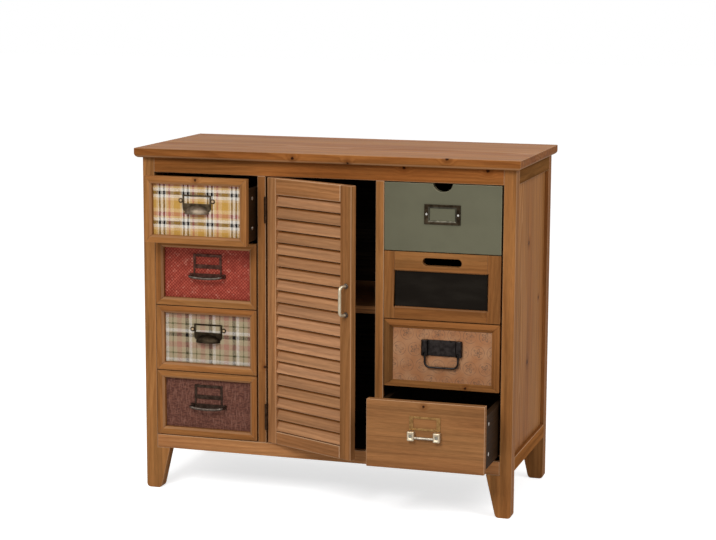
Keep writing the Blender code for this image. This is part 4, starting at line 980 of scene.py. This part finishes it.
def screw_at(name, place, size, finish, body, slot):
    """A small cross-head screw facing the front, with its head on a place."""
    screw = copy_of(screw_model, name, Matrix.Translation(place) @ FACING_FRONT @ Matrix.Scale(size, 4))
    screw.data.materials[0] = finish
    fit(screw, body, slot)


for number, frame_finish, cup_finish in ((1, worn_bronze, grey_bronze), (3, bronze, bronze)):
    node = f"drawer_{number}_cup_pull"
    low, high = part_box(node)
    middle_x, back = (low.x + high.x) / 2, high.y
    card_low = Vector((middle_x - CUP_CARD[0] / 2, back - PULL_PLATE, high.z - CUP_CARD[1]))
    card_high = Vector((middle_x + CUP_CARD[0] / 2, back, high.z))
    ear_z = (card_low.z + card_high.z) / 2
    shapes = [card_frame(card_low, card_high, CUP_BORDERS)]
    ease(shapes[0], PULL_EASE)
    for side, ear_x in (("left", low.x + CUP_EAR), ("right", high.x - CUP_EAR)):
        shapes.append(boss((ear_x, back, ear_z), CUP_EAR, CUP_EAR_PLATE, CUP_EAR_EASE))
        screw_at(f"{node}_{side}_screw", (ear_x, back - CUP_EAR_PLATE, ear_z), EAR_SCREW, ear_brass,
                 f"drawer_{number}", "antique_bronze")
    apron = block("apron", (card_low.x, back - CUP_APRON[1], card_low.z - CUP_APRON[0]),
                  (card_high.x, back, card_low.z + CUP_BORDERS[2] / 2))
    round_edges(apron, CUP_APRON_ROUND, 8, lambda ends: all(end.z < card_low.z for end in ends)
                and runs_along(ends, 1))
    ease(apron, THIN_EASE)
    shapes.append(apron)
    coat(frame_finish, *shapes)
    mouth = Vector((middle_x, back - CUP_SEAT, low.z + CUP_LIP))
    cup = start_with("cup", bpy.ops.mesh.primitive_uv_sphere_add, segments=64, ring_count=32, radius=1)
    saw(cup, [((0, 0, 0), (0, 1, 0)), ((0, 0, 0), (0, 0, -1))], close=False)
    cup.scale = (CUP_WIDTH / 2, CUP_REACH, CUP_HEIGHT)
    cup.location = mouth
    bpy.ops.object.transform_apply(location=True, rotation=True, scale=True)
    pick_edges(cup, lambda ends: all(end.z < mouth.z + 0.00001 for end in ends))
    bpy.ops.mesh.extrude_region_move(TRANSFORM_OT_translate={"value": (0, 0, -CUP_LIP)})
    bpy.ops.transform.resize(value=CUP_FLARE, center_override=mouth)
    bpy.ops.object.mode_set(mode="OBJECT")
    wall = cup.modifiers.new("wall", "SOLIDIFY")
    wall.thickness = CUP_WALL
    wall.offset = -1.0
    bpy.ops.object.modifier_apply(modifier="wall")
    ease(cup, THIN_EASE, sharper_than=50)
    coat(cup_finish, cup)
    fit(as_one(f"{node}_casting", shapes + [cup]), f"drawer_{number}", "antique_bronze", node)


# Bow pulls of drawers 2 and 4. A bronze plate with a frame for a paper label, two straps down to a foot,
# and a round bar bowed between two bosses on the foot. The bar is rubbed bright by fingers.
BOW_CARD = (0.069, 0.033)
BOW_BORDERS = (0.0055, 0.006, 0.009)
BOW_STRAP = 0.004
BOW_LAP = 0.002
BOW_NECK = 0.012
BOW_FOOT = (0.088, 0.010)
BOW_SPACING = 0.079
BOW_REACH = 0.020
BOW_DROOP = 0.0035
BOW_RADIUS = 0.0034
BOW_BEND = 0.007
BOW_STEPS = 14
BOW_BOSS = 0.0046
BOW_BOSS_HEIGHT = 0.006
BOW_BOSS_EASE = 0.0012
PULL_SEAT = 0.0004
REDDISH = ((0.100, 0.046, 0.034, 1), (0.046, 0.018, 0.013, 1))
UMBER = ((0.064, 0.040, 0.029, 1), (0.028, 0.016, 0.011, 1))
HANDLED = ((0.150, 0.122, 0.100, 1), (0.072, 0.054, 0.044, 1))

reddish = worn_metal("reddish_bronze", *REDDISH, 0.34)
umber = worn_metal("umber_bronze", *UMBER, 0.34)
handled = worn_metal("handled_bronze", *HANDLED, 0.28)


def bent_rod(radius, start, heading, moves):
    """A round rod drawn from a start point along its heading: straight moves, and quarter bends, each
    about a centre and an axis."""
    rod = start_with("rod", bpy.ops.mesh.primitive_circle_add, vertices=20, radius=radius, location=start,
                     rotation=Vector(heading).to_track_quat("Z", "Y").to_euler())
    bpy.ops.object.mode_set(mode="EDIT")
    bpy.ops.mesh.select_all(action="SELECT")
    for move in moves:
        if isinstance(move, Vector):
            bpy.ops.mesh.extrude_region_move(TRANSFORM_OT_translate={"value": move})
        else:
            bpy.ops.mesh.spin(steps=8, angle=-math.pi / 2, center=move[0], axis=move[1])
    bpy.ops.mesh.select_all(action="SELECT")
    bpy.ops.mesh.remove_doubles(threshold=0.00001)
    bpy.ops.mesh.fill_holes(sides=0)
    bpy.ops.mesh.normals_make_consistent(inside=False)
    bpy.ops.object.mode_set(mode="OBJECT")
    ease(rod, THIN_EASE, sharper_than=60)
    return rod


def u_rod(radius, start, out, span, bend, steps=1):
    """A rod bent to a U: straight out from its start, a quarter bend, along the span, a bend and back."""
    start = Vector(start)
    heading, side = out.normalized(), span.normalized()
    axis = heading.cross(side)
    first, last = start + out + side * bend, start + out + span - side * bend
    run = (span - side * 2 * bend) / steps
    return bent_rod(radius, start, heading, [out, (first, axis)] + [run] * steps + [(last, axis), -out])


for number, plate_finish in ((2, reddish), (4, umber)):
    node = f"drawer_{number}_bow_pull"
    low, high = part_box(node)
    middle_x, back, face = (low.x + high.x) / 2, high.y, high.y - PULL_PLATE
    half_x, half_foot = BOW_CARD[0] / 2, BOW_FOOT[0] / 2
    card_z = high.z - BOW_CARD[1]
    foot_top = card_z - BOW_NECK
    foot_z = foot_top - BOW_FOOT[1] / 2
    plate = card_frame(Vector((middle_x - half_x, face, card_z)), Vector((middle_x + half_x, back, high.z)),
                       BOW_BORDERS)
    for left, right, bottom, top_z in (
            (-half_x, BOW_STRAP - half_x, foot_top - BOW_LAP, card_z + BOW_LAP),
            (half_x - BOW_STRAP, half_x, foot_top - BOW_LAP, card_z + BOW_LAP),
            (-half_foot, half_foot, foot_top - BOW_FOOT[1], foot_top)):
        strap = block("strap", (middle_x + left, face, bottom), (middle_x + right, back, top_z))
        apply_cut(plate, strap, "UNION")
    ease(plate, PULL_EASE)
    shapes = [plate]
    half_x = BOW_SPACING / 2
    for x in (middle_x - half_x, middle_x + half_x):
        shapes.append(boss((x, back - PULL_SEAT, foot_z), BOW_BOSS, BOW_BOSS_HEIGHT, BOW_BOSS_EASE))
    coat(plate_finish, *shapes)
    out = Vector((0, BOW_BEND + PULL_PLATE / 2 - BOW_REACH, 0))
    bar = u_rod(BOW_RADIUS, (middle_x - half_x, back - PULL_PLATE / 2, foot_z), out,
                Vector((BOW_SPACING, 0, 0)), BOW_BEND, BOW_STEPS)
    for vertex in bar.data.vertices:
        vertex.co.z -= BOW_DROOP * max(0.0, 1 - ((vertex.co.x - middle_x) / half_x) ** 2)
    coat(handled, bar)
    fit(as_one(f"{node}_casting", shapes + [bar]), f"drawer_{number}", "antique_bronze", node)


# Card holder of drawer 5. A flat bronze frame for a paper label, sloped in towards its window, held by
# a bright screw at each end. Its sloped faces are a lighter bronze, a painted highlight.
HOLDER_SIDE = 0.0125
HOLDER_BORDER = 0.0085
HOLDER_SLOPE = (0.0034, 0.0018)
HOLDER_BEVEL_HIGHLIGHT = ((0.075, 0.068, 0.050, 1), (0.040, 0.036, 0.026, 1))
HOLDER_SCREW = 0.58
HOLDER_SCREW_IN = HOLDER_SIDE * 0.42

low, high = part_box("drawer_5_card_holder")
holder = block("drawer_5_holder", low, high)
window_low = low + Vector((HOLDER_SIDE, 0, HOLDER_BORDER))
window_high = high - Vector((HOLDER_SIDE, 0, HOLDER_BORDER))
spare = Vector((0, CUT_SPARE, 0))
apply_cut(holder, block("window", window_low - spare, window_high + spare))
apply_cut(holder, sloped_window(window_low, window_high, HOLDER_SLOPE[1], HOLDER_SLOPE[0]))
coat(bronze, holder)
# Faces that slope between front and side take a lighter bronze: a painted highlight on the bevels.
coat(worn_metal("holder_bevel_highlight", *HOLDER_BEVEL_HIGHLIGHT, 0.34), holder)
for face in holder.data.polygons:
    face.material_index = 1 if 0.3 < abs(face.normal.y) < 0.95 else 0
ease(holder, PULL_EASE)
fit(holder, "drawer_5", "antique_bronze", "drawer_5_card_holder")
holder_steel = worn_metal("holder_screw_steel", *STEEL, 0.22)
for side, x in (("left", low.x + HOLDER_SCREW_IN), ("right", high.x - HOLDER_SCREW_IN)):
    screw_at(f"drawer_5_holder_{side}_screw", (x, low.y, (low.z + high.z) / 2), HOLDER_SCREW, holder_steel,
             "drawer_5", "bright_nickel")


# Bail plate of drawer 7 and its bail. A black iron plate with rounded corners between two barrel-shaped
# end caps, and a bail of round wire whose ends turn on pins in the caps.
IRON = ((0.036, 0.030, 0.028, 1), (0.016, 0.013, 0.012, 1))
BAIL_PLATE = 0.003
BAIL_CORNER = 0.006
BAIL_CAP_WIDTH = 0.015
BAIL_CAP_ROUND = 0.0055
BAIL_CAP_EASE = 0.0012
BAIL_SPACING = 0.076
BAIL_DROP = 0.0315
BAIL_RADIUS = 0.0023
BAIL_BEND = 0.012
BAIL_PIN = 0.0016
BAIL_PIN_LENGTH = 0.009
BAIL_PIN_EASE = 0.0003
BAIL_PLAY = 0.0004
HOLE_EASE = 0.0001


def pin_across(middle, radius, length, easing):
    """A round pin lying from left to right about its middle."""
    pin = boss((0, 0, 0), radius, length, easing)
    left_end = middle - Vector((length / 2, 0, 0))
    pin.data.transform(Matrix.Translation(left_end) @ Matrix.Rotation(math.pi / 2, 4, "Z"))
    return pin


iron = worn_metal("black_iron", *IRON, 0.30)
low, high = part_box("drawer_7_bail_plate")
pivot = Vector(joints["bail_pivot"]["pos_m"])
half_span = Vector((BAIL_SPACING / 2, 0, 0))
plate = block("drawer_7_plate", (low.x, high.y - BAIL_PLATE, low.z), high)
round_edges(plate, BAIL_CORNER, 6, lambda ends: runs_along(ends, 1))
ease(plate, PULL_EASE)
shapes = [plate]
slot_half = BAIL_RADIUS + BAIL_PLAY
swing = math.hypot(BAIL_RADIUS, BAIL_PIN) + BAIL_PLAY
for left_x, arm in ((low.x, pivot - half_span), (high.x - BAIL_CAP_WIDTH, pivot + half_span)):
    cap = block("cap", (left_x, low.y, low.z), (left_x + BAIL_CAP_WIDTH, high.y - PULL_SEAT, high.z))
    round_edges(cap, BAIL_CAP_ROUND, 8, lambda ends: all(end.y < low.y + 0.001 for end in ends)
                and runs_along(ends, 2))
    ease(cap, BAIL_CAP_EASE, 3)
    apply_cut(cap, block("slot", (arm.x - slot_half, low.y - CUT_SPARE, low.z - CUT_SPARE),
                         (arm.x + slot_half, pivot.y + swing, pivot.z + swing)))
    apply_cut(cap, pin_across(arm, BAIL_PIN + BAIL_PLAY, BAIL_PIN_LENGTH + 2 * BAIL_PLAY, HOLE_EASE))
    shapes.append(cap)
coat(iron, *shapes)
fit(as_one("drawer_7_bail_casting", shapes), "drawer_7", "black_iron", "drawer_7_bail_plate")

down = Vector((0, 0, BAIL_BEND - BAIL_DROP - BAIL_PIN))
shapes = [u_rod(BAIL_RADIUS, pivot - half_span + Vector((0, 0, BAIL_PIN)), down, 2 * half_span, BAIL_BEND)]
for arm in (pivot - half_span, pivot + half_span):
    shapes.append(pin_across(arm, BAIL_PIN, BAIL_PIN_LENGTH, BAIL_PIN_EASE))
coat(iron, *shapes)
fit(as_one("drawer_7_bail_wire", shapes), "bail", "black_iron", "drawer_7_bail")


# Card frame and bar of drawer 8. A thin brass frame for a paper label, held by two small pins, and below
# it a nickel bar between two square posts, each held by a screw through its face.
BRASS = ((0.350, 0.195, 0.070, 1), (0.210, 0.110, 0.038, 1))
NICKEL = ((0.580, 0.490, 0.360, 1), (0.480, 0.400, 0.280, 1))
SATIN = ((0.400, 0.350, 0.280, 1), (0.270, 0.235, 0.185, 1))
POST_STEEL = ((0.300, 0.280, 0.235, 1), (0.200, 0.185, 0.150, 1))
LABEL_BORDERS = (0.009, 0.005, 0.005)
LABEL_EASE = 0.0005
LABEL_PIN = 0.45
BAR_POST_WIDTH = 0.0155
BAR_POST_EASE = 0.0022
BAR_RADIUS = 0.003
BAR_DROP = 0.004
POST_SCREW = 0.75
POST_SCREW_SUNK = 0.0012

brass = worn_metal("aged_brass", *BRASS, 0.30)
nickel = worn_metal("bright_nickel", *NICKEL, 0.34)
satin = worn_metal("satin_nickel", *SATIN, 0.26)
post_steel = worn_metal("post_screw_steel", *POST_STEEL, 0.30)
low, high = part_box("drawer_8_card_frame")
label_frame = card_frame(low, high, LABEL_BORDERS)
label_frame.name = label_frame.data.name = "drawer_8_label_frame"
ease(label_frame, LABEL_EASE)
coat(brass, label_frame)
fit(label_frame, "drawer_8", "aged_brass", "drawer_8_card_frame")
for side, x in (("left", low.x + LABEL_BORDERS[0] / 2), ("right", high.x - LABEL_BORDERS[0] / 2)):
    screw_at(f"drawer_8_label_{side}_pin", (x, low.y, (low.z + high.z) / 2), LABEL_PIN, brass, "drawer_8",
             "aged_brass")

low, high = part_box("drawer_8_bar_handle")
shapes = []
for side, left_x in (("left", low.x), ("right", high.x - BAR_POST_WIDTH)):
    post_low, post_high = Vector((left_x, low.y, low.z)), Vector((left_x + BAR_POST_WIDTH, high.y, high.z))
    post = block("post", post_low, post_high)
    ease(post, BAR_POST_EASE, 4)
    middle = (post_low + post_high) / 2
    seat = (middle.x, low.y + POST_SCREW_SUNK, middle.z)
    apply_cut(post, boss(seat, SCREW_RADIUS * 0.8, CUT_SPARE, HOLE_EASE))
    shapes.append(post)
    screw_at(f"drawer_8_{side}_post_screw", seat, POST_SCREW, post_steel, "drawer_8", "bright_nickel")
coat(nickel, *shapes)
bar_start = (low.x + BAR_POST_WIDTH / 2, low.y + 2 * BAR_RADIUS, (low.z + high.z) / 2 - BAR_DROP)
bar = bent_rod(BAR_RADIUS, bar_start, (1, 0, 0), [Vector((high.x - low.x - BAR_POST_WIDTH, 0, 0))])
coat(satin, bar)
fit(as_one("drawer_8_bar_and_posts", shapes + [bar]), "drawer_8", "bright_nickel", "drawer_8_bar_handle")


# Louvred door. Two stiles and two rails of pine, mortised together, with twenty thin slats that lean
# out at their lower edge and sit in mortises in the stiles. Each slat is a strip of its own colour, and
# a dark band along its upper edge is painted shade from the slat above.
SLAT_COUNT = 20
SLAT_WIDTH = 0.026
SLAT_THICKNESS = 0.005
SLAT_TILT = math.radians(20)
SLAT_END_GAP = 0.0005
SLAT_TENON = 0.0055
SLAT_EASE = 0.0014
SLAT_SHADE = (0.170, 0.056, 0.0110, 1)
SLAT_LOOKS = {"a": (1.0, 0.6), "b": (1.08, 0.85), "c": (0.9, 0.5), "d": (1.04, 0.75), "e": (0.96, 0.65)}
SLAT_SHADE_BAND = 0.0058
HINGE_STILE = 0.026
HINGE_STILE_EASE = 0.0015


def shut_box(node):
    """Corners of a piece of the door as it lies with the door shut."""
    back = Matrix.Translation(door_pin) @ door_turn.inverted() @ Matrix.Translation(-door_pin)
    places = [back @ vertex.co for vertex in frame["nodes"][node].data.vertices]
    return [Vector([end(place[i] for place in places) for i in range(3)]) for end in (min, max)]


ajar = Matrix.Translation(door_pin) @ door_turn @ Matrix.Translation(-door_pin)
for node, axis, tone, pale, rubbed in (("door_lock_stile", "Z", 0.80, 0.1, 0.25),
                                       ("door_top_rail", "X", 1.0, 0.25, 0.6),
                                       ("door_bottom_rail", "X", 0.95, 0.25, 0.6)):
    dress(node, pine(node, *shut_box(node), axis, tone, on_door=True, pale=pale, rubbed=rubbed))
lock_low, lock_high = shut_box("door_lock_stile")
field_bottom, field_top = shut_box("door_bottom_rail")[1].z, shut_box("door_top_rail")[0].z
stile_low = Vector((shut_box("door_hinge_stile_and_slats")[0].x, lock_low.y, lock_low.z))
stile_high = Vector((stile_low.x + HINGE_STILE, lock_high.y, lock_high.z))
hinge_stile = block("door_hinge_stile", stile_low, stile_high)
ease(hinge_stile, HINGE_STILE_EASE)
hinge_stile.data.transform(ajar)
coat(pine("door_hinge_stile", stile_low, stile_high, "Z", 1.0, on_door=True, pale=0.3), hinge_stile)
fit(hinge_stile, "door", "pine", "door_hinge_stile_and_slats")

field_low = Vector((stile_high.x - SLAT_TENON, lock_low.y, field_bottom))
field_high = Vector((lock_low.x + SLAT_TENON, lock_high.y, field_top))
field_middle = (field_low + field_high) / 2
slat_size = Vector((field_high.x - field_low.x, SLAT_THICKNESS, SLAT_WIDTH))
slat_model = block("slat", -slat_size / 2, slat_size / 2)
ease(slat_model, SLAT_EASE, 3)
height = slat_model.data.attributes.new("height", "FLOAT", "POINT")
for i, vertex in enumerate(slat_model.data.vertices):
    height.data[i].value = vertex.co.z
slat_woods = []
for letter, (tone, pale) in SLAT_LOOKS.items():
    finish = pine(f"door_slats_{letter}", field_low, field_high, "X", tone, on_door=True, pale=pale,
                  rings=0.2)
    tree = finish.node_tree
    # A dark band along each slat's upper edge: painted shade cast by the slat above.
    level = put(tree, "ShaderNodeAttribute", attribute_name="height").outputs["Fac"]
    shade_from, shade_to = SLAT_WIDTH / 2 - SLAT_SHADE_BAND, SLAT_WIDTH / 2 - SLAT_SHADE_BAND * 0.6
    overlay(finish, fade(tree, level, shade_from, shade_to, 0.0, 0.9), SLAT_SHADE)
    slat_woods.append(finish)
rise = SLAT_WIDTH * math.cos(SLAT_TILT) + SLAT_THICKNESS * math.sin(SLAT_TILT)
first_z = field_bottom + SLAT_END_GAP + rise / 2
last_z = field_top - SLAT_END_GAP - rise / 2
for i in range(SLAT_COUNT):
    z = first_z + (last_z - first_z) * i / (SLAT_COUNT - 1)
    place = Matrix.Translation((field_middle.x, field_middle.y, z)) @ Matrix.Rotation(-SLAT_TILT, 4, "X")
    slat = copy_of(slat_model, f"door_slat_{i + 1:02d}", ajar @ place)
    coat(slat_woods[(i * 7 + i // 3) % len(slat_woods)], slat)
    fit(slat, "door", "pine")
bpy.data.objects.remove(slat_model)


# Hinges and handle of the door. Two small bronzed butt hinges, each with a leaf on the chest and a leaf
# on the door, knuckled round a pin, and a bright nickel bow screwed to the lock stile on two turned feet
# of darker bronze.
HINGE_BRONZE = ((0.062, 0.034, 0.019, 1), (0.028, 0.015, 0.008, 1))
HANDLE_RADIUS = 0.0036
HANDLE_BEND = 0.009
HANDLE_FOOT = (0.006, 0.003)
HANDLE_COLLAR = (0.0048, 0.0055)
HANDLE_EASE = 0.001

hinge_bronze = worn_metal("hinge_bronze", *HINGE_BRONZE, 0.34)
for level in ("upper", "lower"):
    for leaf in ("frame", "door"):
        dress(f"hinge_{level}_{leaf}_leaf", hinge_bronze)
low, high = shut_box("door_handle")
middle_x, back = (low.x + high.x) / 2, high.y
foot_low, foot_high = low.z + HANDLE_FOOT[0], high.z - HANDLE_FOOT[0]
start = Vector((middle_x, back - HANDLE_FOOT[1] / 2, foot_low))
out = Vector((0, low.y + HANDLE_RADIUS + HANDLE_BEND - start.y, 0))
shapes = [u_rod(HANDLE_RADIUS, start, out, Vector((0, 0, foot_high - foot_low)), HANDLE_BEND)]
coat(nickel, shapes[0])
for z in (foot_low, foot_high):
    for radius, reach in (HANDLE_FOOT, HANDLE_COLLAR):
        shapes.append(boss((middle_x, back, z), radius, reach, HANDLE_EASE))
coat(handled, *shapes[1:])
handle = as_one("door_bow_handle", shapes)
handle.data.transform(ajar)
fit(handle, "door", "bright_nickel", "door_handle")
bpy.data.objects.remove(screw_model)
